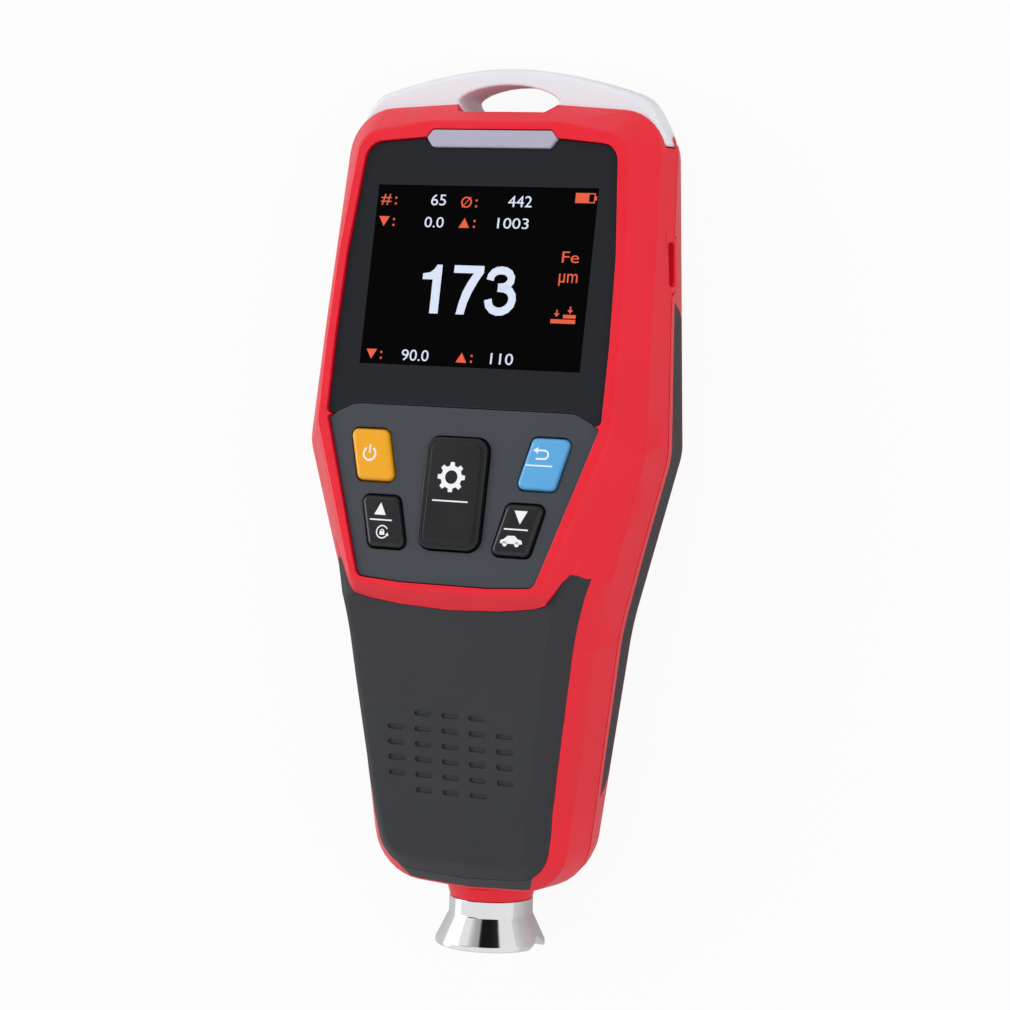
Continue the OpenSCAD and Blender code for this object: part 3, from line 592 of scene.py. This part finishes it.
def light_pipe():
    """Milky plastic with a faint cloud inside."""
    c = colours()
    f = Finish("light_pipe")
    haze = f.noise(3, 3, (0.4, 1, 1))
    return f.surface(Base_Color=f.blend(haze, opaque(c.bar, 0.92), opaque(c.bar, 1.1)),
                     Roughness=haze * 0.15 + 0.22, Normal=f.bump(f.noise(0.4, 2), 0.006))


def silver_paint():
    """Paint with fine flakes."""
    c = colours()
    f = Finish("silver_paint")
    flake = f.noise(0.18, 2)
    cloud = f.noise(10, 2)
    tint = f.blend(flake * 0.8 + cloud * 0.2, opaque(c.silver, 0.78), opaque(c.silver, 1.16))
    return f.surface(Base_Color=tint, Roughness=flake * 0.14 + 0.34, Normal=f.bump(flake, 0.008),
                     Specular_IOR_Level=0.4)


def polished_steel():
    """Steel of the sleeve, with turned rings too fine to see singly."""
    f = Finish("polished_steel")
    turned = f.noise(0.25, 2, (0.05, 1, 0.05))
    tint = f.blend(f.noise(4, 2), (0.70, 0.70, 0.72, 1), (0.78, 0.78, 0.79, 1))
    return f.surface(Base_Color=tint, Roughness=turned * 0.06 + 0.05, Metallic=1.0,
                     Normal=f.bump(turned, 0.0012))


def bright_steel():
    """Brushed steel of the screws, springs and contacts."""
    f = Finish("bright_steel")
    brushed = f.noise(0.2, 2, (1, 0.15, 1))
    return f.surface(Base_Color=f.blend(brushed, (0.5, 0.5, 0.52, 1), (0.7, 0.7, 0.71, 1)),
                     Roughness=brushed * 0.2 + 0.2, Metallic=1.0, Normal=f.bump(brushed, 0.004))


def copper_winding():
    """Turns of wire side by side along the coil, with painted shade in the grooves between them."""
    f = Finish("copper_winding")
    turns = f.add("ShaderNodeTexWave", {"bands_direction": "Y"},
                  {"Vector": f.place(), "Scale": 1000.0, "Distortion": 0.4})
    # The bands that raise the turns also set the colour, so the copper is painted darker in the grooves
    # between the turns: painted shade
    return f.surface(Base_Color=f.blend(turns, (0.28, 0.09, 0.03, 1), (0.72, 0.32, 0.14, 1)),
                     Roughness=turns * -0.15 + 0.4, Metallic=1.0, Normal=f.bump(turns, 0.08))


def green_board():
    """Circuit board with raised patches under its green mask."""
    f = Finish("green_board")
    mask = f.noise(1.6, 4) > 0.56
    return f.surface(Base_Color=f.blend(mask, (0.01, 0.09, 0.04, 1), (0.03, 0.2, 0.09, 1)),
                     Roughness=mask * 0.1 + 0.3, Normal=f.bump(mask, 0.03))


def cell_wrap():
    """Dark foil round the battery cells."""
    f = Finish("cell_wrap")
    foil = f.noise(0.3, 2, (1, 0.2, 1))
    return f.surface(Base_Color=f.blend(foil, (0.02, 0.02, 0.025, 1), (0.06, 0.06, 0.07, 1)),
                     Roughness=foil * 0.2 + 0.25, Metallic=0.4, Normal=f.bump(foil, 0.004))


def printed(name, shade, body, glow):
    """Fine dots of ink or of lit display."""
    f = Finish(name)
    dots = f.noise(0.12, 1)
    return f.surface(Base_Color=f.blend(dots, opaque(shade, body * 0.94), opaque(shade, body * 1.04)),
                     Roughness=dots * 0.2 + 0.4, Normal=f.bump(dots, 0.003), Emission_Strength=glow,
                     Emission_Color=f.blend(dots, opaque(shade, 0.94), opaque(shade, 1.04)))


def make_materials():
    c = colours()
    # Name, shade, roughness, size and depth of the grain in mm, spread of the colour, and gloss
    mouldings = {
        "red": ("moulded_red", c.red, 0.36, 0.35, 0.012, 0.06, 0.42),
        "front": ("front_red", c.red, 0.36, 0.35, 0.012, 0.06, 0.42, c.grip),
        "grip": ("soft_rubber", c.grip, 0.56, 0.28, 0.03, 0.12, 0.3),
        "slate": ("slate_plastic", c.slate, 0.5, 0.3, 0.02, 0.08, 0.35),
        "yellow": ("yellow_silicone", c.yellow, 0.32, 0.25, 0.01, 0.05),
        "blue": ("blue_silicone", c.blue, 0.32, 0.25, 0.01, 0.05),
        "black": ("black_silicone", c.black, 0.34, 0.25, 0.012, 0.12, 0.4),
        "inner": ("inner_plastic", srgb(70, 70, 74), 0.5, 0.3, 0.02, 0.1),
    }
    made = {key: moulded(*look) for key, look in mouldings.items()}
    made.update(window=window_gloss(), bar=light_pipe(), silver=silver_paint(), chrome=polished_steel(),
                steel=bright_steel(), copper=copper_winding(), board=green_board(), cell=cell_wrap())
    # Shade, level of the body and level of the glow
    prints = {"white_mark": (c.white_mark, 0.95, 0.0), "white_lit": (c.figures, 0.3, 0.68),
              "orange_lit": (c.orange_mark, 0.3, 0.68)}
    made.update({key: printed(key, *look) for key, look in prints.items()})
    return made


MATERIALS = {}


# Pieces

class GAUGE_OT_shells(Operator):
    """Moulded front and rear shells with rounded edges"""
    bl_idname = "gauge.shells"
    bl_label = "Shells"

    def execute(self, context):
        width = sizes().shell_round
        dress("front_shell", "front_case", MATERIALS["front"], "red_shell", width=width, angle=28)
        dress("rear_shell", "rear_case", MATERIALS["red"], "red_shell", width=width, angle=32)
        return {"FINISHED"}


class GAUGE_OT_grips(Operator):
    """Soft grips on the front and the sides"""
    bl_idname = "gauge.grips"
    bl_label = "Soft grips"

    def execute(self, context):
        width = sizes().grip_round
        front = copy_node("front_grip", "front_rubber")
        self.soften_slots(front)
        round_edges(front, width, angle=32, shortest=SLOT_ROUND * MM)
        even_normals(front, 32)
        finish_piece(front, MATERIALS["grip"], "soft_grip", "case", "front_grip")
        for node in ("side_grip_left", "side_grip_right"):
            dress(node, node.replace("grip", "rubber"), MATERIALS["grip"], "soft_grip", width=width, angle=32)
        return {"FINISHED"}

    def soften_slots(self, obj):
        """Cuts the slots anew with round ends and shallower floors, as soft rubber moulds them."""
        mesh = bmesh.new()
        mesh.from_mesh(obj.data)
        slots, walls = {}, set()
        for edge in mesh.edges:
            low, high = sorted(edge.verts, key=lambda v: v.co.z)
            rise = high.co - low.co
            if not 0 < rise.length < SLOT_WALL * MM or rise.normalized().z <= UPRIGHT:
                continue
            if edge.calc_face_angle_signed(0) < FOLDED_IN:
                floor = next(face for face in low.link_faces if face.normal.z > FACES_UP)
                slots.setdefault(floor, []).append((low.co.copy(), high))
                walls.update(edge.link_faces)
        corners = list(slots.values())
        bmesh.ops.delete(mesh, geom=list(walls | set(slots)), context="FACES")
        cutters = []
        for pairs in corners:
            floor, rim = zip(*pairs)
            middle = sum((vert.co for vert in rim), Vector()) / len(rim)
            around = sorted(rim, key=lambda vert: math.atan2(vert.co.y - middle.y, vert.co.x - middle.x))
            mesh.faces.new(around)
            cutters.append(self.slot_cutter(floor, middle))
        mesh.to_mesh(obj.data)
        mesh.free()
        combine(obj, joined(cutters), "DIFFERENCE")

    def slot_cutter(self, floor, rim):
        """Round-ended block on a lifted floor, from a slot's lower corners and the middle of its rim."""
        middle = sum(floor, Vector()) / len(floor)
        rise = rim - middle
        half_l = max(corner.x for corner in floor) - middle.x
        half_w = SLOT_END * MM
        turns = [math.pi * (i / END_STEPS - 0.5) for i in range(END_STEPS + 1)]
        end = [((half_l - half_w + half_w * math.cos(t)) / MM, half_w * math.sin(t) / MM) for t in turns]
        cutter = flat_mark(end + [(-x, -y) for x, y in end], SLOT_WALL)
        upright = rise.to_track_quat("Z", "Y").to_matrix().to_4x4()
        cutter.data.transform(Matrix.Translation(middle + rise * SLOT_LIFT) @ upright)
        return cutter


class GAUGE_OT_bow(Operator):
    """Silver carrying bow with its strap hole"""
    bl_idname = "gauge.bow"
    bl_label = "Carrying bow"

    def execute(self, context):
        low, high = (corner[2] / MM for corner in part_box("top_handle"))
        bow = plan_plate(BOW_EDGE + BOW_ROOT, low, high)
        combine(bow, plan_plate(COLLAR_EDGE, COLLAR_LOW, low + COLLAR_LAP), "UNION")
        combine(bow, plan_plate(STRAP_EDGE, COLLAR_LOW - STRAP_PAST, high + STRAP_PAST), "DIFFERENCE")
        bow.name = "carrying_bow"
        mesh = bmesh.new()
        mesh.from_mesh(bow.data)
        weight = mesh.edges.layers.float.new(BEVEL_WEIGHT)
        for edge in mesh.edges:
            middle = (edge.verts[0].co + edge.verts[1].co) / 2
            past = abs(middle.x) > COLLAR_HALF_W * MM
            above = middle.y - sizes().display_y > COLLAR_EDGE[0][1] * MM
            outer = (past or above) and middle.z > (low - BOW_NEAR) * MM
            if edge.calc_face_angle(0) > math.radians(BOW_SHARP):
                edge[weight] = 1 if outer else STRAP_SHARE
        mesh.to_mesh(bow.data)
        mesh.free()
        apply_modifier(bow, "BEVEL", width=sizes().bow_round, segments=5, limit_method="WEIGHT",
                       use_clamp_overlap=False)
        even_normals(bow, BOW_SHARP)
        finish_piece(bow, MATERIALS["silver"], "silver_bow", "case", "top_handle")
        return {"FINISHED"}


class GAUGE_OT_panels(Operator):
    """Dark window, slate panel and pale light bar"""
    bl_idname = "gauge.panels"
    bl_label = "Window and panels"

    def execute(self, context):
        width = sizes().panel_round
        dress("display_window", "window_lens", MATERIALS["window"], "window", width=width, segments=2)
        dress("keypad_panel", "keypad_plate", MATERIALS["slate"], "slate_panel", width=width, segments=2)
        dress("light_bar", "light_pipe_bar", MATERIALS["bar"], "light_pipe", width=width * 2.5, segments=4)
        return {"FINISHED"}


class GAUGE_OT_readings(Operator):
    """Numbers and symbols on the lit display"""
    bl_idname = "gauge.readings"
    bl_label = "Display readings"

    def large_number(self):
        """Main reading, as outlines and strokes in mm from the display centre."""
        one = [(-8.38, -6.5), (-6.78, -6.5), (-6.78, 1.85), (-7.75, 1.85), (-8.25, 1.05), (-9.05, 0.5),
               (-10.3, 0.3), (-10.3, -0.7), (-8.38, -0.7)]
        seven = [(-4.5, 1.85), (-4.5, 0.55), (-0.75, 0.55), (-1.7, -0.95), (-2.5, -2.6), (-3.05, -4.6),
                 (-3.4, -6.5), (-1.9, -6.5), (-1.5, -4.6), (-0.75, -2.6), (0.2, -0.75), (1.1, 0.65),
                 (1.1, 1.85)]
        upper = [(2.4, -0.5), (2.55, 0.25), (3.0, 0.8), (3.65, 1.12), (4.4, 1.2), (5.2, 1.1), (5.9, 0.7),
                 (6.3, 0.05), (6.25, -0.65), (5.8, -1.25), (5.1, -1.62), (4.0, -1.72)]
        lower = [(4.0, -1.75), (5.3, -1.85), (6.2, -2.25), (6.72, -2.95), (6.85, -3.75), (6.6, -4.65),
                 (5.95, -5.35), (5.1, -5.75), (4.2, -5.8), (3.3, -5.5), (2.65, -4.85), (2.35, -3.8)]
        return [flat_mark(one), flat_mark(seven), stroke_mark(upper, 1.35), stroke_mark(lower, 1.4)]

    def labels(self):
        """Number, mean, lowest and highest signs, and the colons after them."""
        marks = []
        for text, x, y in (("#", -19.9, 11.9), ("Ø", -4.6, 11.7)):
            marks.append(text_mark(text, x, y, x + 2.0, y + 1.9))
        for x, y, up in ((-19.9, 8.2, -1), (-4.6, 8.2, 1), (-19.5, -14.7, -1), (-2.4, -14.7, 1)):
            mid, top = y + 0.9, 0.85 * up
            marks.append(flat_mark([(x, mid - top), (x + 2.0, mid - top), (x + 1.0, mid + top)][::up]))
        for x, y in ((-17.2, 11.9), (-1.9, 11.7), (-17.2, 8.2), (-1.9, 8.2), (-16.8, -14.7), (0.3, -14.7)):
            for lift in (0.1, 1.1):
                marks.append(bar_mark(x, y + lift, x + 0.35, y + lift + 0.35))
        return marks

    def side_signs(self):
        """Battery, unit and layer marks down the right side."""
        marks = [bar_mark(16.5, 12.9, 19.0, 14.6), bar_mark(19.0, 14.4, 20.1, 14.6),
                 bar_mark(19.0, 12.9, 20.1, 13.1), bar_mark(19.9, 13.1, 20.1, 14.4),
                 bar_mark(20.1, 13.4, 20.4, 14.1)]
        marks += [text_mark("Fe", 15.2, 2.8, 18.3, 4.7), text_mark("µm", 15.0, -1.1, 18.4, 1.0)]
        marks += [bar_mark(14.3, -7.4, 18.8, -6.7), bar_mark(16.5, -6.5, 18.8, -5.9)]
        for x, y in ((15.3, -6.3), (17.7, -5.7)):
            marks += [bar_mark(x - 0.12, y + 0.5, x + 0.12, y + 1.2),
                      flat_mark([(x, y), (x + 0.5, y + 0.6), (x - 0.5, y + 0.6)])]
        return marks

    def execute(self, context):
        numbers = [text_mark("65", -10.3, 12.0, -7.5, 13.9), text_mark("442", 4.2, 12.0, 8.6, 13.9),
                   text_mark("0.0", -11.1, 8.2, -7.5, 10.0), text_mark("1003", 2.6, 8.3, 8.4, 10.1),
                   text_mark("90.0", -12.7, -14.7, -7.6, -12.8), text_mark("110", 4.0, -14.7, 8.2, -12.8)]
        numbers += self.large_number()
        print_marks(numbers, "display_numbers", 0, MATERIALS["white_lit"], "window", "case")
        symbols = self.labels() + self.side_signs()
        print_marks(symbols, "display_symbols", 0, MATERIALS["orange_lit"], "window", "case")
        return {"FINISHED"}


class GAUGE_OT_keys(Operator):
    """Five press keys with their printed marks"""
    bl_idname = "gauge.keys"
    bl_label = "Keys"

    def power_marks(self):
        """Ring with a gap and a bar."""
        x, y = -16.3, -30.9
        return [arc_mark(x, y, 1.12, 0.32, 125, 415), bar_mark(x - 0.16, y + 0.1, x + 0.16, y + 1.5)]

    def clear_marks(self):
        """Arrow that turns back, above a line."""
        x, y = 15.75, -29.4
        return [bar_mark(x - 0.9, y + 0.5, x + 0.4, y + 0.8),
                arc_mark(x + 0.4, y - 0.05, 0.7, 0.3, -90, 90, 16),
                bar_mark(x - 1.1, y - 0.9, x + 0.4, y - 0.6),
                flat_mark([(x - 1.7, y + 0.65), (x - 0.8, y + 0.1), (x - 0.8, y + 1.2)]),
                bar_mark(13.0, -31.42, 17.8, -31.18)]

    def cal_marks(self):
        """Toothed wheel above a line."""
        x, y = -0.3, -34.1
        teeth, points = 8, []
        for i in range(teeth):
            for step, radius in ((-0.30, 1.95), (-0.18, 2.55), (0.18, 2.55), (0.30, 1.95)):
                turn = 2 * math.pi * (i + step) / teeth
                points.append((x + radius * math.cos(turn), y + radius * math.sin(turn)))
        points.append(points[0])
        hole = [(x + 1.15 * math.cos(t), y + 1.15 * math.sin(t))
                for t in (2 * math.pi * (-0.3 / teeth - i / 32) for i in range(33))]
        return [flat_mark(points + hole), bar_mark(-3.4, -38.25, 3.2, -38.0)]

    def up_marks(self):
        """Triangle, line, and a lock in a turning arrow."""
        x, y = -12.3, -44.0
        return [flat_mark([(-14.15, -41.15), (-11.95, -41.15), (-13.05, -39.05)]),
                bar_mark(-14.85, -42.1, -10.7, -41.86), arc_mark(x, y, 1.05, 0.22, 30, 330),
                flat_mark([(x + 0.65, y - 0.5), (x + 1.3, y - 0.7), (x + 1.1, y - 0.05)]),
                bar_mark(x - 0.45, y - 0.5, x + 0.45, y + 0.1), arc_mark(x, y + 0.1, 0.3, 0.16, 0, 180, 12)]

    def down_marks(self):
        """Triangle, line and a car."""
        x, y = 11.8, -44.75
        body = [(-2.0, 0.25), (-2.0, 0.75), (-1.35, 1.0), (-0.75, 1.55), (0.55, 1.6), (1.15, 1.05),
                (1.85, 0.9), (2.05, 0.3), (1.6, 0.25)]
        marks = [flat_mark([(11.85, -38.95), (14.25, -38.95), (13.05, -41.2)][::-1]),
                 bar_mark(10.25, -42.2, 14.6, -41.96), flat_mark([(x + dx, y + dy) for dx, dy in body][::-1])]
        for dx in (-1.15, 1.05):
            marks.append(arc_mark(x + dx, y + 0.2, 0.22, 0.44, 0, 360, 16))
        return marks

    def execute(self, context):
        size = sizes()
        looks = {"power_key": ("yellow", "yellow_key"), "clear_key": ("blue", "blue_key")}
        for key in KEYS:
            material, slot = looks.get(key, ("black", "black_key"))
            dress(key, key.replace("key", "cap"), MATERIALS[material], slot, size.key_round, key, segments=4)
            height = size.cal_rise if key == "cal_key" else size.key_rise
            print_marks(getattr(self, key.replace("key", "marks"))(), key.replace("key", "mark"), height,
                        MATERIALS["white_mark"], slot, key)
        return {"FINISHED"}


class GAUGE_OT_probe(Operator):
    """Collar, polished sleeve and sprung measuring pole"""
    bl_idname = "gauge.probe"
    bl_label = "Probe"

    def sleeve(self):
        """Turned sleeve with a V groove across its end."""
        low, high = (Vector(corner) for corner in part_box("probe_sleeve"))
        axis_z = (low.z + high.z) / 2
        deselect()
        bpy.ops.mesh.primitive_circle_add(vertices=len(SLEEVE_PROFILE), radius=MM)
        sleeve = bpy.context.object
        sleeve.name = "flared_sleeve"
        for vertex, (radius, rise) in zip(sleeve.data.vertices, SLEEVE_PROFILE):
            vertex.co = (radius * MM, low.y + rise * MM, axis_z)
        edit_all(sleeve)
        bpy.ops.mesh.spin(steps=SLEEVE_STEPS, angle=2 * math.pi, center=(0, low.y, axis_z), axis=(0, 1, 0))
        bpy.ops.mesh.select_all(action="SELECT")
        bpy.ops.mesh.remove_doubles(threshold=0.002 * MM)
        bpy.ops.mesh.normals_make_consistent(inside=False)
        deselect()
        bpy.ops.mesh.primitive_circle_add(vertices=3, radius=MM, fill_type="NGON")
        cutter = bpy.context.object
        for vertex, (side, rise) in zip(cutter.data.vertices, ((2, -1), (-2, -1), (0, 1))):
            vertex.co = (-high.x * 2, low.y + rise * GROOVE_DEPTH * MM, axis_z + side * GROOVE_HALF_W * MM)
        edit_all(cutter)
        bpy.ops.mesh.extrude_region_move(TRANSFORM_OT_translate={"value": (high.x * 4, 0, 0)})
        bpy.ops.mesh.select_all(action="SELECT")
        bpy.ops.mesh.normals_make_consistent(inside=False)
        end_edit()
        combine(sleeve, cutter, "DIFFERENCE")
        round_edges(sleeve, SLEEVE_ROUND * MM, angle=15)
        even_normals(sleeve, 20)
        finish_piece(sleeve, MATERIALS["chrome"], "polished_sleeve", "case", "probe_sleeve")

    def spring(self):
        """Return spring, with a mesh of its own."""
        spring = copy_node("probe_spring", "return_spring")
        even_normals(spring, 50)
        finish_piece(spring, MATERIALS["steel"], "inner_metal", "case", "probe_spring")
        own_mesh(spring)

    def execute(self, context):
        dress("probe_collar", "probe_neck", MATERIALS["red"], "red_shell", NECK_ROUND * MM)
        self.sleeve()
        dress("probe_tip", "measuring_pole", MATERIALS["steel"], "probe_steel", POLE_ROUND * MM, "probe")
        paint("probe_coil", MATERIALS["copper"])
        self.spring()
        paint("probe_guide", MATERIALS["inner"])
        return {"FINISHED"}


class GAUGE_OT_back(Operator):
    """Battery cover with finger grooves, and the case screws with their cross slots"""
    bl_idname = "gauge.back"
    bl_label = "Back"

    def cover(self):
        """Battery cover with a row of finger grooves."""
        low = Vector(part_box("battery_cover")[0])
        grooves = []
        for i in range(FINGERS):
            place = (0, low.y + (FINGER_START + FINGER_PITCH * i) * MM, FINGER_Z * MM)
            deselect()
            bpy.ops.mesh.primitive_cylinder_add(vertices=24, radius=FINGER_R * MM, depth=FINGER_L * MM,
                                                location=place, rotation=(0, math.pi / 2, 0))
            grooves.append(bpy.context.object)
        cover = copy_node("battery_cover", "battery_door")
        combine(cover, joined(grooves), "DIFFERENCE")
        round_edges(cover, COVER_ROUND * MM, 2)
        for vertex in cover.data.vertices:
            vertex.co.z = max(vertex.co.z, low.z)
        even_normals(cover)
        finish_piece(cover, MATERIALS["red"], "red_shell", "battery_cover", "battery_cover")

    def screws(self):
        """Case screws with a cross slot in each head."""
        screws = copy_node("case_screws", "cross_screws")
        slots = []
        for place in self.screw_places():
            for turn in (0, math.pi / 2):
                deselect()
                bpy.ops.mesh.primitive_cube_add(size=1, location=place, rotation=(0, 0, turn + CROSS_TURN))
                bpy.context.object.scale = [side * MM for side in CROSS_CUT]
                slots.append(bpy.context.object)
        pick(*slots)
        bpy.ops.object.transform_apply(location=True, rotation=True, scale=True)
        combine(screws, joined(slots), "DIFFERENCE", use_self=True)
        round_edges(screws, SCREW_ROUND * MM, 2)
        even_normals(screws)
        finish_piece(screws, MATERIALS["steel"], "inner_metal", "case", "case_screws")

    def execute(self, context):
        self.cover()
        self.screws()
        return {"FINISHED"}

    def screw_places(self):
        """Middle of each screw head's lower face."""
        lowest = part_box("case_screws")[0][2]
        faces = [v.co for v in NODES["case_screws"].data.vertices if v.co.z < lowest + HEAD_NEAR * MM]
        places = []
        for side_x in (-1, 1):
            for upper in (False, True):
                ring = [p for p in faces if p.x * side_x > 0 and (p.y > 0) == upper]
                low = Vector((min(p.x for p in ring), min(p.y for p in ring), lowest))
                high = Vector((max(p.x for p in ring), max(p.y for p in ring), lowest))
                places.append((low + high) / 2)
        return places


class GAUGE_OT_socket(Operator):
    """Socket shell with its contact tongue"""
    bl_idname = "gauge.socket"
    bl_label = "Socket"

    def execute(self, context):
        dress("usb_socket", "socket_shell", MATERIALS["steel"], "inner_metal", SOCKET_ROUND * MM, segments=2)
        low, high = (Vector(corner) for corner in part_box("usb_socket"))
        middle = (low + high) / 2
        deselect()
        bpy.ops.mesh.primitive_cube_add(size=1, location=(middle.x - TONGUE_BACK * MM, middle.y, middle.z))
        tongue = bpy.context.object
        tongue.scale = [side * MM for side in TONGUE]
        bpy.ops.object.transform_apply(location=True, rotation=True, scale=True)
        tongue.name = "socket_tongue"
        round_edges(tongue, TONGUE_ROUND * MM, 2)
        even_normals(tongue)
        finish_piece(tongue, MATERIALS["inner"], "inner_plastic", "case")
        return {"FINISHED"}


class GAUGE_OT_inside(Operator):
    """Finishes of the parts inside the case"""
    bl_idname = "gauge.inside"
    bl_label = "Inside"

    def execute(self, context):
        for node in ("key_switches", "board_screws", "battery_springs", "battery_contacts"):
            paint(node, MATERIALS["steel"])
        for node in ("main_board", "indicator_leds"):
            paint(node, MATERIALS["board"])
        for node in ("lcd_module", "buzzer"):
            paint(node, MATERIALS["inner"])
        for node in ("battery_cell_1", "battery_cell_2"):
            paint(node, MATERIALS["cell"])
        return {"FINISHED"}


class GAUGE_OT_stage(Operator):
    """Camera, soft lamps and a plain pale floor"""
    bl_idname = "gauge.stage"
    bl_label = "Stage"

    def camera(self):
        size = sizes()
        deselect()
        bpy.ops.object.camera_add()
        camera = bpy.context.object
        camera.data.sensor_width = SENSOR
        camera.data.lens = LENS
        camera.data.clip_start = NEAREST
        x, y, z = CAMERA_PLACE
        turn = Matrix(CAMERA_WAYS).transposed().to_4x4()
        camera.matrix_world = Matrix.Translation((x, size.display_y + y, size.display_z + z)) @ turn
        bpy.context.scene.camera = camera

    def lamp(self, name, place, power, width, shows):
        deselect()
        bpy.ops.object.light_add(type="AREA", location=place)
        lamp = bpy.context.object
        lamp.name = name
        lamp.data.shape = "DISK"
        lamp.data.energy = power
        lamp.data.size = width
        lamp.visible_glossy = shows
        lamp.rotation_euler = (Vector(LAMP_AIM) - Vector(place)).to_track_quat("-Z", "Y").to_euler()

    def world(self):
        world = bpy.context.scene.world or bpy.data.worlds.new("studio")
        bpy.context.scene.world = world
        world.use_nodes = True
        f = Finish("studio", world.node_tree)
        camera, through, glossy = f.add("ShaderNodeLightPath", {}, {},
                                        ("Is Camera Ray", "Is Transmission Ray", "Is Glossy Ray"))
        way = f.add("ShaderNodeTexCoord", {}, {}, "Generated")
        panels = 1.0
        for aim, edge, middle, level in REFLECTED:
            toward = f.add("ShaderNodeVectorMath", {"operation": "DOT_PRODUCT"},
                           {0: way, 1: Vector(aim).normalized()}, "Value")
            fade = {"Value": toward, "From Min": edge, "From Max": middle, "To Min": 1.0, "To Max": level}
            panels = panels * f.add("ShaderNodeMapRange", {"interpolation_type": "SMOOTHSTEP"}, fade)
        light = f.add("ShaderNodeBackground", {}, {"Color": (1, 1, 1, 1), "Strength": STUDIO_LIGHT})
        sky = f.add("ShaderNodeBackground", {}, {"Color": (1, 1, 1, 1), "Strength": 1.0})
        card = f.add("ShaderNodeBackground", {}, {"Color": (1, 1, 1, 1), "Strength": panels})
        mixed = f.add("ShaderNodeMixShader", {}, {0: glossy, 1: light, 2: card})
        whole = f.add("ShaderNodeMixShader", {}, {0: camera + through, 1: mixed, 2: sky})
        f.add("ShaderNodeOutputWorld", {}, {"Surface": whole})

    def floor(self):
        deselect()
        bpy.ops.mesh.primitive_plane_add(size=FLOOR_W, location=(0, 0, -FLOOR_DROP * MM))
        floor = bpy.context.object
        floor.name = "floor"
        f = Finish("floor_white")
        seen = f.add("ShaderNodeLightPath", {}, {}, "Is Camera Ray")
        grain = f.noise(2, 2)
        tint = f.blend(grain, (0.68, 0.68, 0.68, 1), (0.72, 0.72, 0.72, 1))
        paper = f.add("ShaderNodeBsdfDiffuse", {}, {"Color": tint})
        glow = f.add("ShaderNodeEmission", {}, {"Color": (1, 1, 1, 1), "Strength": 1.0})
        shader = f.add("ShaderNodeMixShader", {}, {0: seen * FLOOR_GLOW, 1: paper, 2: glow})
        f.add("ShaderNodeOutputMaterial", {}, {"Surface": shader})
        floor.data.materials.append(f.material)

    def execute(self, context):
        context.scene.view_settings.view_transform = "Standard"
        self.camera()
        self.world()
        self.floor()
        for lamp in LAMPS:
            self.lamp(*lamp)
        return {"FINISHED"}


class GAUGE_PT_panel(Panel):
    """Sidebar list of the gauge's pieces"""
    bl_idname = "GAUGE_PT_panel"
    bl_label = "Thickness gauge"
    bl_space_type = "VIEW_3D"
    bl_region_type = "UI"
    bl_category = "Gauge"

    def draw(self, context):
        for group in (context.scene.gauge_sizes, context.scene.gauge_colours):
            for key in group.__annotations__:
                self.layout.prop(group, key)
        for step in STEPS:
            self.layout.operator(step.bl_idname)


STEPS = (GAUGE_OT_stage, GAUGE_OT_shells, GAUGE_OT_grips, GAUGE_OT_bow, GAUGE_OT_panels, GAUGE_OT_readings,
         GAUGE_OT_keys, GAUGE_OT_probe, GAUGE_OT_back, GAUGE_OT_socket, GAUGE_OT_inside)
CLASSES = (GaugeSizes, GaugeColours, *STEPS, GAUGE_PT_panel)


def register():
    for item in CLASSES:
        bpy.utils.register_class(item)
    bpy.types.Scene.gauge_sizes = PointerProperty(type=GaugeSizes)
    bpy.types.Scene.gauge_colours = PointerProperty(type=GaugeColours)


def unregister():
    del bpy.types.Scene.gauge_colours
    del bpy.types.Scene.gauge_sizes
    for item in reversed(CLASSES):
        bpy.utils.unregister_class(item)


def main():
    register()
    MATERIALS.update(make_materials())
    for step in STEPS:
        getattr(bpy.ops.gauge, step.bl_idname.split(".")[1])()
    deselect()


if __name__ == "__main__":
    main()
